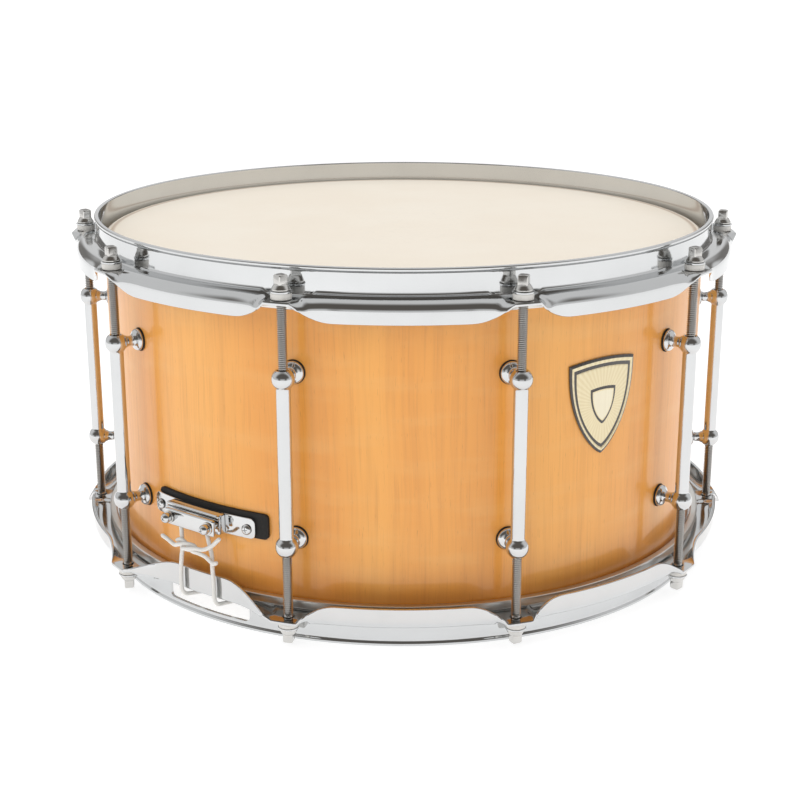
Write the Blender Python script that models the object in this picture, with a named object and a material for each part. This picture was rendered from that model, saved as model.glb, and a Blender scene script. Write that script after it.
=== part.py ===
"""Snare drum, 14 x 7 inches: a wooden shell with ten tube lugs, flanged steel hoops, two heads,
snare wires, a butt plate at the front left and a throw-off strainer opposite it.

Units are metres, +Z is up and the drum stands on the rim of its snare side hoop at Z = 0.
The origin is at the centre of that rim. Azimuth 0 is the front (-Y) and grows towards +X.
Heights of the drum's parts are given from its middle plane, which lies at half the total height.
"""

import bpy
import bmesh
from math import cos, pi, radians, sin
from mathutils import Matrix, Vector

# ---- driving dimensions -------------------------------------------------------------------
INCH = 0.0254
GAP = 0.0003                      # running gap between neighbours
SEGMENTS = 50                     # facets round the shell, heads and flesh hoops

SHELL_RADIUS = 14 * INCH / 2
SHELL_DEPTH = 7 * INCH
SHELL_WALL = 0.0065
EDGE_INSET = 0.0030               # from the outer wall in to the top of the bearing edge
EDGE_DROP = 0.0044                # height of the rounded outer side of the bearing edge

RIM_STAND = 0.0123                # from the bearing edge out to the hoop's rim
EAR_FACE = 0.0858                 # outer face of the hoops' ears, from the middle plane
PILLOW_FACE = 0.0874              # outer face of the shelf between two ears
SKIRT_EDGE = 0.0749               # free edge of the skirt between two ears
HOOP_SHEET = 0.0018
HOOP_WALL_RADIUS = 0.1820         # outer face of the hoop's upright wall
LIP_RADIUS = 0.1829
ROLL_START_RADIUS = 0.1880
SKIRT_RADIUS = 0.1940
EAR_RADIUS = 0.1990
HOOP_TRAVEL = 0.0030              # how far a loosened hoop backs off

LUG_COUNT = 10
LUG_PITCH = 360 / LUG_COUNT       # degrees
ROD_CIRCLE = 0.1920
BALL_HEIGHT = 0.0450              # a lug's ball centres, above and below the middle plane
BALL_RADIUS = 0.0060
TUBE_RADIUS = 0.0038
ROD_RADIUS = 0.0026
ROD_HEAD_END = 0.0984
ROD_TIP = 0.0380
BORE_END = 0.0340

FILM = 0.0004
FLESH_INNER_RADIUS = 0.17895
FLESH_OUTER_RADIUS = 0.1832
FLESH_TOP = 0.0834
FLESH_HEIGHT = 0.0050

BUTT_AZIMUTH = -36.0
STRAINER_AZIMUTH = BUTT_AZIMUTH + 180
BADGE_AZIMUTH = 36.0
BADGE_HEIGHT = 0.0205
VENT_AZIMUTH = 180.0
GATE_WIDTH = 0.0585               # openings in the snare side hoop's wall for the cords
GATE_LOW = 0.0868
GATE_HIGH = 0.0968
GATE_SKIRT_EDGE = 0.0722          # the skirt over a gate is taller and stands close to the wall
GATE_SKIRT_RADIUS = 0.1866
GATE_ROLL_START_RADIUS = 0.1846

STRAND_COUNT = 20
STRAND_PITCH = 0.0022
STRAND_SIZE = 0.0016
WIRE_HALF_LENGTH = 0.1590
CORD_RADIUS = 0.0012

HALF_HEIGHT = SHELL_DEPTH / 2 + RIM_STAND
EDGE = SHELL_DEPTH / 2

# ---- materials ----------------------------------------------------------------------------
FINISHES = {                      # colour, roughness, metallic
    "maple": ((0.80, 0.46, 0.17), 0.30, 0.0),
    "coated_film": ((0.84, 0.79, 0.70), 0.75, 0.0),
    "clear_film": ((0.80, 0.82, 0.82), 0.25, 0.0),
    "chrome": ((0.82, 0.83, 0.83), 0.10, 1.0),
    "aluminium": ((0.78, 0.77, 0.73), 0.35, 1.0),
    "steel": ((0.62, 0.62, 0.61), 0.30, 1.0),
    "foam": ((0.02, 0.02, 0.02), 0.90, 0.0),
    "cord": ((0.88, 0.87, 0.82), 0.80, 0.0),
    "badge_enamel": ((0.80, 0.70, 0.45), 0.35, 0.0),
}


def finish_material(node, finish):
    """A material of the node's own, made from one of the finishes above."""
    colour, roughness, metallic = FINISHES[finish]
    material = bpy.data.materials.new(f"{node}_{finish}")
    material.use_nodes = True
    shader = material.node_tree.nodes["Principled BSDF"]
    shader.inputs["Base Color"].default_value = (*colour, 1.0)
    shader.inputs["Roughness"].default_value = roughness
    shader.inputs["Metallic"].default_value = metallic
    return material


# ---- placing ------------------------------------------------------------------------------
def outward(azimuth):
    """Unit vector from the drum's axis towards an azimuth in degrees."""
    return Vector((sin(radians(azimuth)), -cos(radians(azimuth)), 0))


def add_object(name, mesh, finish, azimuth=0.0, radius=0.0, height=0.0):
    """Put a mesh in the scene at an azimuth, radius and height. Its own -Y then faces outward."""
    obj = bpy.data.objects.new(name, mesh)
    bpy.context.scene.collection.objects.link(obj)
    obj.location = outward(azimuth) * radius + Vector((0, 0, HALF_HEIGHT + height))
    obj.rotation_euler = (0, 0, radians(azimuth))
    if not mesh.materials:
        mesh.materials.append(finish_material(name, finish))
    return obj


def finish_mesh(bm, name, smooth_angle=35):
    """Close off a bmesh: faces out, round faces smooth."""
    bmesh.ops.recalc_face_normals(bm, faces=bm.faces)
    mesh = bpy.data.meshes.new(name)
    bm.to_mesh(mesh)
    bm.free()
    mesh.shade_smooth()
    mesh.set_sharp_from_angle(angle=radians(smooth_angle))
    return mesh


def cut(obj, cutter):
    """Cut a hidden cutter's shape out of an object."""
    cutter.hide_render = True
    cutter.display_type = "WIRE"
    modifier = obj.modifiers.new(cutter.name, "BOOLEAN")
    modifier.operation = "DIFFERENCE"
    modifier.object = cutter


def fuse(obj, other):
    """Join a hidden shape to an object as one solid."""
    cut(obj, other)
    obj.modifiers[-1].operation = "UNION"


# ---- shapes -------------------------------------------------------------------------------
def ring(profile, name, segments=SEGMENTS):
    """Turn a closed outline of (radius, height) points about Z."""
    bm = bmesh.new()
    rows = []
    for step in range(segments):
        angle = 2 * pi * step / segments
        rows.append([bm.verts.new((r * sin(angle), -r * cos(angle), z)) for r, z in profile])
    bridge_rows(bm, rows)
    return finish_mesh(bm, name)


def bridge_rows(bm, rows):
    """Skin closed rows of points, and join the last row to the first."""
    count = len(rows[0])
    for row, following in zip(rows, rows[1:] + rows[:1]):
        for i in range(count):
            j = (i + 1) % count
            bm.faces.new((row[i], row[j], following[j], following[i]))


def turned(profile, sides, name, about="Z"):
    """Turn an open outline of (radius, height) points whose two ends lie on the axis."""
    bm = bmesh.new()
    first = bm.verts.new((0, 0, profile[0][1]))
    last = bm.verts.new((0, 0, profile[-1][1]))
    rings = []
    for r, z in profile[1:-1]:
        angles = (2 * pi * (step + 0.5) / sides for step in range(sides))
        rings.append([bm.verts.new((r * cos(a), r * sin(a), z)) for a in angles])
    for i in range(sides):
        j = (i + 1) % sides
        bm.faces.new((first, rings[0][i], rings[0][j]))
        bm.faces.new((last, rings[-1][j], rings[-1][i]))
        for low, high in zip(rings, rings[1:]):
            bm.faces.new((low[i], low[j], high[j], high[i]))
    if about == "Y":                  # heights then run outward, along -Y
        bmesh.ops.rotate(bm, verts=bm.verts, matrix=Matrix.Rotation(radians(90), 3, "X"))
    elif about == "X":
        bmesh.ops.rotate(bm, verts=bm.verts, matrix=Matrix.Rotation(radians(90), 3, "Y"))
    return finish_mesh(bm, name)


def rod_shape(radius, low, high):
    """Outline of a plain cylinder for turned()."""
    return [(0, low), (radius, low), (radius, high), (0, high)]


def block(low, high, name, bevel=0.0):
    """A box between two corners, with its edges rounded off by one bevel."""
    bm = bmesh.new()
    bmesh.ops.create_cube(bm, size=1)
    low, high = Vector(low), Vector(high)
    bmesh.ops.scale(bm, vec=high - low, verts=bm.verts)
    bmesh.ops.translate(bm, vec=(high + low) / 2, verts=bm.verts)
    if bevel:
        bmesh.ops.bevel(bm, geom=bm.edges[:], offset=bevel, segments=1, affect="EDGES")
    return finish_mesh(bm, name)


def arc_plate(inner, outer, half_width, low, high, name, steps=6):
    """A plate that lies on the shell: part of a ring, centred on azimuth 0."""
    bm = bmesh.new()
    half_angle = half_width / outer
    rows = []
    for step in range(steps + 1):
        angle = half_angle * (2 * step / steps - 1)
        corners = ((inner, low), (outer, low), (outer, high), (inner, high))
        rows.append([bm.verts.new((r * sin(angle), -r * cos(angle), z)) for r, z in corners])
    for row, following in zip(rows, rows[1:]):
        for i in range(4):
            j = (i + 1) % 4
            bm.faces.new((row[i], row[j], following[j], following[i]))
    bm.faces.new(rows[0])
    bm.faces.new(rows[-1])
    return finish_mesh(bm, name)


def shield_outline(half_width, top, tip, steps=9):
    """Outline of a plain shield: a slightly arched top and sides that sweep down to a tip."""
    side = []
    for step in range(steps + 1):
        share = step / steps
        side.append((half_width * (1 - share ** 2.3) ** 0.8, top + (tip - top) * share))
    arch = [(half_width * k / 3, top + 0.0022 * (1 - (k / 3) ** 2)) for k in (2, 1, 0, -1, -2)]
    return side + [(-x, z) for x, z in side[-2::-1]] + [(-x, z) for x, z in arch]


def curved_plate(inner, outer, outline, name):
    """A flat outline of (across, height) points laid on the shell as a plate, at azimuth 0."""
    bm = bmesh.new()
    layers = []
    for radius in (inner, outer):
        centre = bm.verts.new((0, -radius, 0))
        rings = []
        for scale in (0.5, 1.0):
            points = []
            for x, z in outline:
                angle = scale * x / radius
                points.append(bm.verts.new((radius * sin(angle), -radius * cos(angle), scale * z)))
            rings.append(points)
        layers.append((centre, rings))
    sides = len(outline)
    for centre, (small, large) in layers:
        for i in range(sides):
            j = (i + 1) % sides
            bm.faces.new((centre, small[i], small[j]))
            bm.faces.new((small[i], large[i], large[j], small[j]))
    back, front = layers[0][1][1], layers[1][1][1]
    for i in range(sides):
        j = (i + 1) % sides
        bm.faces.new((back[i], back[j], front[j], front[i]))
    return finish_mesh(bm, name)


def flipped(mesh, name):
    """A mirror image of a mesh in the middle plane."""
    bm = bmesh.new()
    bm.from_mesh(mesh)
    bmesh.ops.scale(bm, vec=(1, 1, -1), verts=bm.verts)
    return finish_mesh(bm, name)


def edge_arc(spread, lift, steps=3):
    """Quarter oval over the bearing edge, from its top out to the wall."""
    inner = SHELL_RADIUS - EDGE_INSET
    low = EDGE - EDGE_DROP
    points = []
    for step in range(steps):
        turn = radians(90) * step / (steps - 1)
        radius = inner + (EDGE_INSET + spread) * sin(turn)
        points.append((radius, low + (EDGE_DROP + lift) * cos(turn)))
    return points


# ---- shell and heads ----------------------------------------------------------------------
def make_shell():
    outer_side = edge_arc(0, 0)
    inner_radius = SHELL_RADIUS - SHELL_WALL
    inner_height = EDGE - (SHELL_WALL - EDGE_INSET)
    half = [(inner_radius, inner_height)] + outer_side
    profile = half + [(r, -z) for r, z in reversed(half)]
    shell = add_object("shell", ring(profile, "shell"), "maple")
    vent = add_object("vent_hole", turned(rod_shape(0.0063, -0.008, 0.008), 12, "vent_hole", "Y"),
                      "maple", VENT_AZIMUTH, SHELL_RADIUS - SHELL_WALL / 2, 0)
    cut(shell, vent)
    return shell


def head_profile():
    """Film over the bearing edge, then a collar down between shell and flesh hoop."""
    collar_end = EDGE - 0.0084
    under = edge_arc(GAP, GAP)
    over = edge_arc(GAP + FILM, GAP + FILM)
    return under + [(under[-1][0], collar_end), (over[-1][0], collar_end)] + over[::-1]


def make_head(name, finish, mirrored):
    bm = bmesh.new()
    profile = head_profile()
    rows = []
    for step in range(SEGMENTS):
        angle = 2 * pi * step / SEGMENTS
        rows.append([bm.verts.new((r * sin(angle), -r * cos(angle), z)) for r, z in profile])
    under = bm.verts.new((0, 0, profile[0][1]))
    over = bm.verts.new((0, 0, profile[-1][1]))
    for row, following in zip(rows, rows[1:] + rows[:1]):
        for i in range(len(profile) - 1):
            bm.faces.new((row[i], row[i + 1], following[i + 1], following[i]))
        bm.faces.new((under, row[0], following[0]))
        bm.faces.new((over, row[-1], following[-1]))
    mesh = finish_mesh(bm, name)
    if mirrored:
        mesh = flipped(mesh, name)
    return add_object(name, mesh, finish)


def make_flesh_hoop(name, side):
    low, high = sorted((side * FLESH_TOP, side * (FLESH_TOP - FLESH_HEIGHT)))
    profile = [(FLESH_INNER_RADIUS, low), (FLESH_OUTER_RADIUS, low),
               (FLESH_OUTER_RADIUS, high), (FLESH_INNER_RADIUS, high)]
    return add_object(name, ring(profile, name), "aluminium")


# ---- hoops --------------------------------------------------------------------------------
EAR_HALF_ANGLE = 2.0              # degrees of flat ear on each side of a rod
NOSE_ANGLE = 3.3                  # where the raised shelf of the pillow begins
SKIRT_FULL_ANGLE = 8.5            # where the skirt reaches its full depth
GATE_SKIRT_START, GATE_SKIRT_FULL = 4.2, 10.8
STATION_ANGLES = (-11.5, -6.5, -4.8, -NOSE_ANGLE, -EAR_HALF_ANGLE,
                  EAR_HALF_ANGLE, NOSE_ANGLE, 4.8, 6.5, 11.5, LUG_PITCH / 2)


def hoop_section(offset, gated):
    """Closed outline of the hoop's sheet, at an angle from the nearest rod."""
    inner_wall = HOOP_WALL_RADIUS - HOOP_SHEET
    wall_top = [(inner_wall, HALF_HEIGHT), (LIP_RADIUS - 0.0008, HALF_HEIGHT),
                (LIP_RADIUS, HALF_HEIGHT - 0.0011), (HOOP_WALL_RADIUS, HALF_HEIGHT - 0.0026)]
    in_ear = abs(offset) < (EAR_HALF_ANGLE + NOSE_ANGLE) / 2
    face = EAR_FACE if in_ear or gated else PILLOW_FACE
    foot = [(HOOP_WALL_RADIUS, face + 0.0016), (HOOP_WALL_RADIUS + 0.0016, face)]
    under = face - HOOP_SHEET
    if in_ear:
        middle = (ROLL_START_RADIUS + EAR_RADIUS) / 2
        outer = [(ROLL_START_RADIUS, face), (middle, face), (EAR_RADIUS, face)]
        inner = [(EAR_RADIUS, under), (middle, under), (ROLL_START_RADIUS, under)]
    else:
        rise = gate_rise(offset) if gated else skirt_rise(offset)
        edge = GATE_SKIRT_EDGE if gated else SKIRT_EDGE
        radius = GATE_SKIRT_RADIUS if gated else SKIRT_RADIUS
        start = GATE_ROLL_START_RADIUS if gated else ROLL_START_RADIUS
        free_edge = edge + rise * (EAR_FACE - HOOP_SHEET - edge)
        flare = rise * (EAR_RADIUS - radius)
        roll = radius - start
        knee = (start + (roll + flare) * sin(radians(55)),
                face - (1 - rise) * roll * (1 - cos(radians(55))))
        end = (radius + flare, free_edge)
        outer = [(start, face), knee, end]
        inner = [(end[0] - HOOP_SHEET, end[1] - HOOP_SHEET * rise * 0.2),
                 (knee[0] - HOOP_SHEET * 0.8, knee[1] - HOOP_SHEET * 0.8),
                 (start, under)]
    return wall_top + foot + outer + inner + [(inner_wall, under)]


def skirt_rise(offset):
    """1 where the skirt's edge is level with the ear, 0 where the skirt has its full depth."""
    reach = (abs(offset) - EAR_HALF_ANGLE) / (SKIRT_FULL_ANGLE - EAR_HALF_ANGLE)
    return (1 - min(1.0, reach)) ** 2.6


def gate_rise(offset):
    """The same for the skirt over a gate, which stays level for longer."""
    reach = (abs(offset) - GATE_SKIRT_START) / (GATE_SKIRT_FULL - GATE_SKIRT_START)
    reach = min(max(reach, 0.0), 1.0)
    return 1 - reach * reach * (3 - 2 * reach)


def over_gate(angle):
    """Whether an azimuth in degrees lies between the two rods beside a gate."""
    return any(abs((angle - gate + 180) % 360 - 180) < LUG_PITCH / 2 - EAR_HALF_ANGLE - 0.1
               for gate in (BUTT_AZIMUTH, STRAINER_AZIMUTH))


def make_hoop(name, side):
    """A hoop with its ears: the free edge of its skirt is scalloped, and its rim is rolled."""
    bm = bmesh.new()
    rows = []
    for lug in range(LUG_COUNT):
        for offset in STATION_ANGLES:
            azimuth = (lug + 0.5) * LUG_PITCH + offset
            angle = radians(azimuth)
            section = hoop_section(offset, side < 0 and over_gate(azimuth))
            rows.append([bm.verts.new((r * sin(angle), -r * cos(angle), side * z))
                         for r, z in section])
    bridge_rows(bm, rows)
    hoop = add_object(name, finish_mesh(bm, name), "chrome")
    cut(hoop, rod_hole_cutter(name, side))
    return hoop


def rod_hole_cutter(name, side):
    """Ten pins that cut the rod holes in a hoop's ears."""
    bm = bmesh.new()
    for lug in range(LUG_COUNT):
        place = outward((lug + 0.5) * LUG_PITCH) * ROD_CIRCLE + Vector((0, 0, side * EAR_FACE))
        bmesh.ops.create_cone(bm, cap_ends=True, segments=8, radius1=0.0033, radius2=0.0033,
                              depth=0.010, matrix=Matrix.Translation(place))
    return add_object(name + "_rod_holes", finish_mesh(bm, name + "_rod_holes"), "chrome")


def cut_gates(hoop):
    """Two gates in the wall of the snare side hoop, where the cords pass through."""
    for azimuth in (BUTT_AZIMUTH, STRAINER_AZIMUTH):
        name = "gate_at_butt" if azimuth == BUTT_AZIMUTH else "gate_at_strainer"
        mesh = block((-GATE_WIDTH / 2, -0.006, -GATE_HIGH), (GATE_WIDTH / 2, 0.010, -GATE_LOW), name)
        cut(hoop, add_object(name, mesh, "chrome", azimuth, HOOP_WALL_RADIUS, 0))


# ---- lugs and tension rods ----------------------------------------------------------------
def ball_side(centre, angles):
    """Points on a lug's ball, at angles above its equator."""
    return [(BALL_RADIUS * cos(radians(a)), centre + BALL_RADIUS * sin(radians(a)))
            for a in angles]


def lug_mesh():
    """A tube with a ball at each end, bored for the rods, on two waisted posts."""
    bore = ROD_RADIUS + 0.0008
    upper = [(0, BORE_END), (bore, BORE_END), (bore, BALL_HEIGHT + 0.0046)]
    upper += ball_side(BALL_HEIGHT, (50, 0))
    upper += [(TUBE_RADIUS, BALL_HEIGHT - 0.0046)]
    lower = [(r, -z) for r, z in reversed(upper)]
    return turned(upper + lower, 8, "lug")


def post_mesh():
    """Turned post from inside the ball to the shell, with a round foot."""
    foot_back = -(ROD_CIRCLE - SHELL_RADIUS - 0.0006)
    profile = [(0, foot_back), (0.0058, foot_back), (0.0062, foot_back + 0.0012),
               (0.0044, foot_back + 0.0030), (0.0028, foot_back + 0.0048),
               (0.0034, -0.0042), (0, -0.0042)]
    return turned(profile, 8, "lug_post", "Y")


def make_lugs():
    tube, post = lug_mesh(), post_mesh()
    for lug in range(LUG_COUNT):
        name = f"lug_{lug + 1:02d}"
        azimuth = (lug + 0.5) * LUG_PITCH
        obj = add_object(name, tube.copy(), "chrome", azimuth, ROD_CIRCLE, 0)
        for end, height in (("upper", BALL_HEIGHT), ("lower", -BALL_HEIGHT)):
            foot = add_object(f"{name}_{end}_post", post, "chrome", azimuth, ROD_CIRCLE, height)
            fuse(obj, foot)


def rod_mesh():
    """A tension rod along +Z: threaded shank, washers, shoulder and square head."""
    seat = EAR_FACE + GAP
    profile = [(0, ROD_TIP), (ROD_RADIUS, ROD_TIP + 0.0010), (ROD_RADIUS, seat),
               (0.0055, seat), (0.0055, seat + 0.0042), (0.0033, seat + 0.0074),
               (0.0033, ROD_HEAD_END), (0, ROD_HEAD_END)]
    return turned(profile, 6, "tension_rod")


def make_rods():
    upper = rod_mesh()
    lower = flipped(upper, "tension_rod_below")
    for side, mesh in (("batter", upper), ("snare", lower)):
        for lug in range(LUG_COUNT):
            azimuth = (lug + 0.5) * LUG_PITCH
            add_object(f"{side}_rod_{lug + 1:02d}", mesh, "steel", azimuth, ROD_CIRCLE, 0)


# ---- clamps that hold the cords, on the butt plate and on the strainer --------------------
CLAMP_HALF_HEIGHT = 0.0045
CLAMP_PLATE = 0.0020
CLAMP_BACK = 0.0101               # back of the clamp plate, outward from the shell
STRAINER_CLAMP = (0.0165, 0.0120, -0.0465)   # half width, screw reach, height
BUTT_CLAMP = (0.0180, 0.0142, -0.0437)
CLAMP_SEAT = CLAMP_BACK - 2 * CORD_RADIUS - 2 * GAP


def clamp_screw_mesh():
    """Screw along -Y with its origin at the clamp plate's front face."""
    shank, tip = 0.0014, -(CLAMP_PLATE + 0.0054)
    profile = [(0, tip), (shank, tip), (shank, GAP), (0.0034, GAP), (0.0034, 0.0013),
               (0.0028, 0.0013), (0.0028, 0.0042), (0.0016, 0.0054), (0, 0.0054)]
    return turned(profile, 8, "clamp_screw", "Y")


def screw_holes(name, azimuth, radius, height, reach):
    """Two pins along Y, side by side, that cut the holes for a pair of screws."""
    bm = bmesh.new()
    for x in (-reach, reach):
        matrix = Matrix.Translation((x, 0, 0)) @ Matrix.Rotation(radians(90), 4, "X")
        bmesh.ops.create_cone(bm, cap_ends=True, segments=8, radius1=0.0019, radius2=0.0019,
                              depth=0.020, matrix=matrix)
    return add_object(name, finish_mesh(bm, name), "chrome", azimuth, radius, height)


def make_clamp(prefix, azimuth, sizes):
    """Clamp plate and its two screws."""
    half_width, reach, height = sizes
    front = SHELL_RADIUS + CLAMP_BACK + CLAMP_PLATE
    mesh = block((-half_width, 0, -CLAMP_HALF_HEIGHT),
                 (half_width, CLAMP_PLATE, CLAMP_HALF_HEIGHT), prefix + "_clamp_plate", 0.0004)
    plate = add_object(prefix + "_clamp_plate", mesh, "chrome", azimuth, front, height)
    cut(plate, screw_holes(prefix + "_clamp_holes", azimuth, front, height, reach))
    screw = clamp_screw_mesh()
    for number, x in ((1, -reach), (2, reach)):
        obj = add_object(f"{prefix}_clamp_screw_{number}", screw, "chrome", azimuth, front, height)
        obj.location += Matrix.Rotation(radians(azimuth), 3, "Z") @ Vector((x, 0, 0))


# ---- butt plate ---------------------------------------------------------------------------
PLATE_AZIMUTH = BUTT_AZIMUTH - 1.0   # the plate sits a little off the middle of its gate
BUTT_HALF_WIDTH = 0.0370
BUTT_LOW, BUTT_HIGH = -0.0487, -0.0372
BUTT_SCREW_AZIMUTH = 10.1         # a fixing screw, in degrees from the butt plate's middle
SEAT_ACROSS = -0.0010
BASE_BACK = 0.0021
BASE_FRONT = 0.0036


def fixing_screw_mesh():
    """Round headed screw along -Y with its origin on the face that it is driven into."""
    profile = [(0, -0.0028), (0.0014, -0.0028), (0.0014, GAP), (0.0029, GAP), (0.0029, 0.0012),
               (0.0018, 0.0020), (0, 0.0020)]
    return turned(profile, 8, "fixing_screw", "Y")


def make_butt():
    gasket = arc_plate(SHELL_RADIUS + GAP, SHELL_RADIUS + BASE_BACK - GAP, BUTT_HALF_WIDTH + 0.0023,
                       BUTT_LOW, BUTT_HIGH + 0.0027, "butt_gasket", 8)
    gasket = add_object("butt_gasket", gasket, "foam", BUTT_AZIMUTH + 0.4)
    base = arc_plate(SHELL_RADIUS + BASE_BACK, SHELL_RADIUS + BASE_FRONT, BUTT_HALF_WIDTH,
                     BUTT_LOW, BUTT_HIGH, "butt_base", 8)
    base = add_object("butt_base", base, "chrome", PLATE_AZIMUTH)
    height = BUTT_CLAMP[2]
    seat = block((SEAT_ACROSS - 0.0190, -CLAMP_SEAT, BUTT_LOW),
                 (SEAT_ACROSS + 0.0190, -BASE_BACK - 0.0009, BUTT_HIGH), "butt_seat", 0.0005)
    fuse(base, add_object("butt_seat", seat, "chrome", PLATE_AZIMUTH, SHELL_RADIUS, 0))
    cut(base, screw_holes("butt_seat_holes", PLATE_AZIMUTH, SHELL_RADIUS + 0.0140, height,
                          BUTT_CLAMP[1]))
    screw = fixing_screw_mesh()
    for number, side in ((1, -1), (2, 1)):
        azimuth = PLATE_AZIMUTH + side * BUTT_SCREW_AZIMUTH
        hole = turned(rod_shape(0.0019, -0.006, 0.006), 8, "fixing_hole", "Y")
        hole = add_object(f"butt_fixing_hole_{number}", hole, "chrome", azimuth,
                          SHELL_RADIUS + BASE_FRONT, height)
        cut(base, hole)
        cut(gasket, hole)
        add_object(f"butt_mount_screw_{number}", screw, "chrome", azimuth,
                   SHELL_RADIUS + BASE_FRONT, height)
    make_clamp("butt", PLATE_AZIMUTH, BUTT_CLAMP)


# ---- strainer -----------------------------------------------------------------------------
STRAINER_LOW, STRAINER_HIGH = -0.0560, 0.0240
STRAINER_HALF_WIDTH = 0.0240
RAIL_INNER = 0.0175
RAIL_OUTER = 0.0205
RAIL_FRONT = 0.0130
PIVOT_HEIGHT = 0.0120
PIVOT_REACH = 0.0095              # the lever's pivot, outward from the shell
LEVER_LENGTH = 0.0430
CARRIAGE_TOP = -0.0240
CARRIAGE_NOSE = 0.0150
KNOB_RADIUS = 0.0052
KNOB_REACH = 0.0096               # the knob's axis, outward from the shell


def make_strainer_base():
    gasket = arc_plate(SHELL_RADIUS + GAP, SHELL_RADIUS + BASE_BACK - GAP, STRAINER_HALF_WIDTH,
                       STRAINER_LOW, STRAINER_HIGH, "strainer_gasket")
    gasket = add_object("strainer_gasket", gasket, "foam", STRAINER_AZIMUTH)
    base = arc_plate(SHELL_RADIUS + BASE_BACK, SHELL_RADIUS + BASE_FRONT, STRAINER_HALF_WIDTH - 0.001,
                     STRAINER_LOW + 0.001, STRAINER_HIGH - 0.001, "strainer_base")
    base = add_object("strainer_base", base, "chrome", STRAINER_AZIMUTH)
    for number, side in ((1, -1), (2, 1)):
        near, far = sorted((side * RAIL_INNER, side * RAIL_OUTER))
        rail = block((near, -RAIL_FRONT, STRAINER_LOW + 0.003),
                     (far, -BASE_BACK + 0.0001, PIVOT_HEIGHT + 0.005), f"strainer_rail_{number}")
        fuse(base, add_object(f"strainer_rail_{number}", rail, "chrome", STRAINER_AZIMUTH,
                              SHELL_RADIUS, 0))
    pin_hole = turned(rod_shape(0.0024, -0.030, 0.030), 8, "pin_hole", "X")
    cut(base, add_object("pin_hole", pin_hole, "chrome", STRAINER_AZIMUTH,
                         SHELL_RADIUS + PIVOT_REACH, PIVOT_HEIGHT))
    screw = fixing_screw_mesh()
    for number, height in ((1, -0.0080), (2, STRAINER_HIGH - 0.0045)):
        hole = turned(rod_shape(0.0019, -0.006, 0.006), 8, "fixing_hole", "Y")
        hole = add_object(f"strainer_fixing_hole_{number}", hole, "chrome", STRAINER_AZIMUTH,
                          SHELL_RADIUS + BASE_FRONT, height)
        cut(base, hole)
        cut(gasket, hole)
        add_object(f"strainer_mount_screw_{number}", screw, "chrome", STRAINER_AZIMUTH,
                   SHELL_RADIUS + BASE_FRONT, height)


def make_strainer_carriage():
    """Sliding block between the rails, with a nose on top that takes the tension knob."""
    back = -BASE_FRONT - 0.0006
    half_width = RAIL_INNER - GAP
    plate = block((-half_width, -CLAMP_SEAT, -0.0510), (half_width, back, CARRIAGE_TOP),
                  "strainer_carriage", 0.0006)
    carriage = add_object("strainer_carriage", plate, "chrome", STRAINER_AZIMUTH, SHELL_RADIUS)
    nose = block((-half_width, -CARRIAGE_NOSE, -0.0375), (half_width, back, CARRIAGE_TOP),
                 "carriage_nose", 0.0006)
    fuse(carriage, add_object("carriage_nose", nose, "chrome", STRAINER_AZIMUTH, SHELL_RADIUS))
    cut(carriage, screw_holes("strainer_seat_holes", STRAINER_AZIMUTH, SHELL_RADIUS + 0.0140,
                              STRAINER_CLAMP[2], STRAINER_CLAMP[1]))
    knob_radius_from_axis = SHELL_RADIUS + KNOB_REACH
    hole = turned(rod_shape(0.0024, -0.0045, 0.010), 8, "knob_hole")
    cut(carriage, add_object("knob_hole", hole, "chrome", STRAINER_AZIMUTH,
                             knob_radius_from_axis, CARRIAGE_TOP))
    profile = [(0, -0.0038), (0.0018, -0.0038), (0.0018, 0.0008), (0.0050, 0.0008),
               (KNOB_RADIUS, 0.0016), (KNOB_RADIUS, 0.0086), (0.0046, 0.0098), (0, 0.0098)]
    add_object("tension_knob", turned(profile, 12, "tension_knob"), "chrome", STRAINER_AZIMUTH,
               knob_radius_from_axis, CARRIAGE_TOP)


def make_lever():
    """Lever in side view, drawn about its pivot and drawn out across its width."""
    half_width = RAIL_INNER - 2 * GAP - 0.003
    outline = [(0.0042, -0.0040), (0.0042, 0.0150), (0.0022, 0.0330), (0.0040, LEVER_LENGTH),
               (0.0064, LEVER_LENGTH - 0.0004), (0.0048, 0.0330), (0.0066, 0.0150),
               (0.0070, 0.0030), (0.0060, -0.0040)]
    bm = bmesh.new()
    sides = []
    for x in (-half_width, half_width):
        sides.append([bm.verts.new((x, 0.0042 - y, z)) for y, z in outline])
    bm.faces.new(sides[0])
    bm.faces.new(sides[1])
    for i in range(len(outline)):
        j = (i + 1) % len(outline)
        bm.faces.new((sides[0][i], sides[0][j], sides[1][j], sides[1][i]))
    lever = add_object("throw_off_lever", finish_mesh(bm, "throw_off_lever"), "chrome",
                       STRAINER_AZIMUTH, SHELL_RADIUS + PIVOT_REACH, PIVOT_HEIGHT)
    boss = turned(rod_shape(0.0044, -RAIL_INNER + 2 * GAP, RAIL_INNER - 2 * GAP), 12, "boss", "X")
    fuse(lever, add_object("lever_boss", boss, "chrome", STRAINER_AZIMUTH,
                           SHELL_RADIUS + PIVOT_REACH, PIVOT_HEIGHT))
    bore = turned(rod_shape(0.0024, -0.025, 0.025), 12, "lever_bore", "X")
    cut(lever, add_object("lever_bore", bore, "chrome", STRAINER_AZIMUTH,
                          SHELL_RADIUS + PIVOT_REACH, PIVOT_HEIGHT))
    pin = turned(rod_shape(0.0019, -RAIL_OUTER - 0.001, RAIL_OUTER + 0.001), 10, "lever_pin", "X")
    add_object("lever_pin", pin, "steel", STRAINER_AZIMUTH, SHELL_RADIUS + PIVOT_REACH,
               PIVOT_HEIGHT)


# ---- snare wires and cords ----------------------------------------------------------------
WIRE_TOP = -(EDGE + GAP + FILM) - 0.0004
WIRE_LOW = WIRE_TOP - STRAND_SIZE
PLATE_THICKNESS = 0.0010


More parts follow.
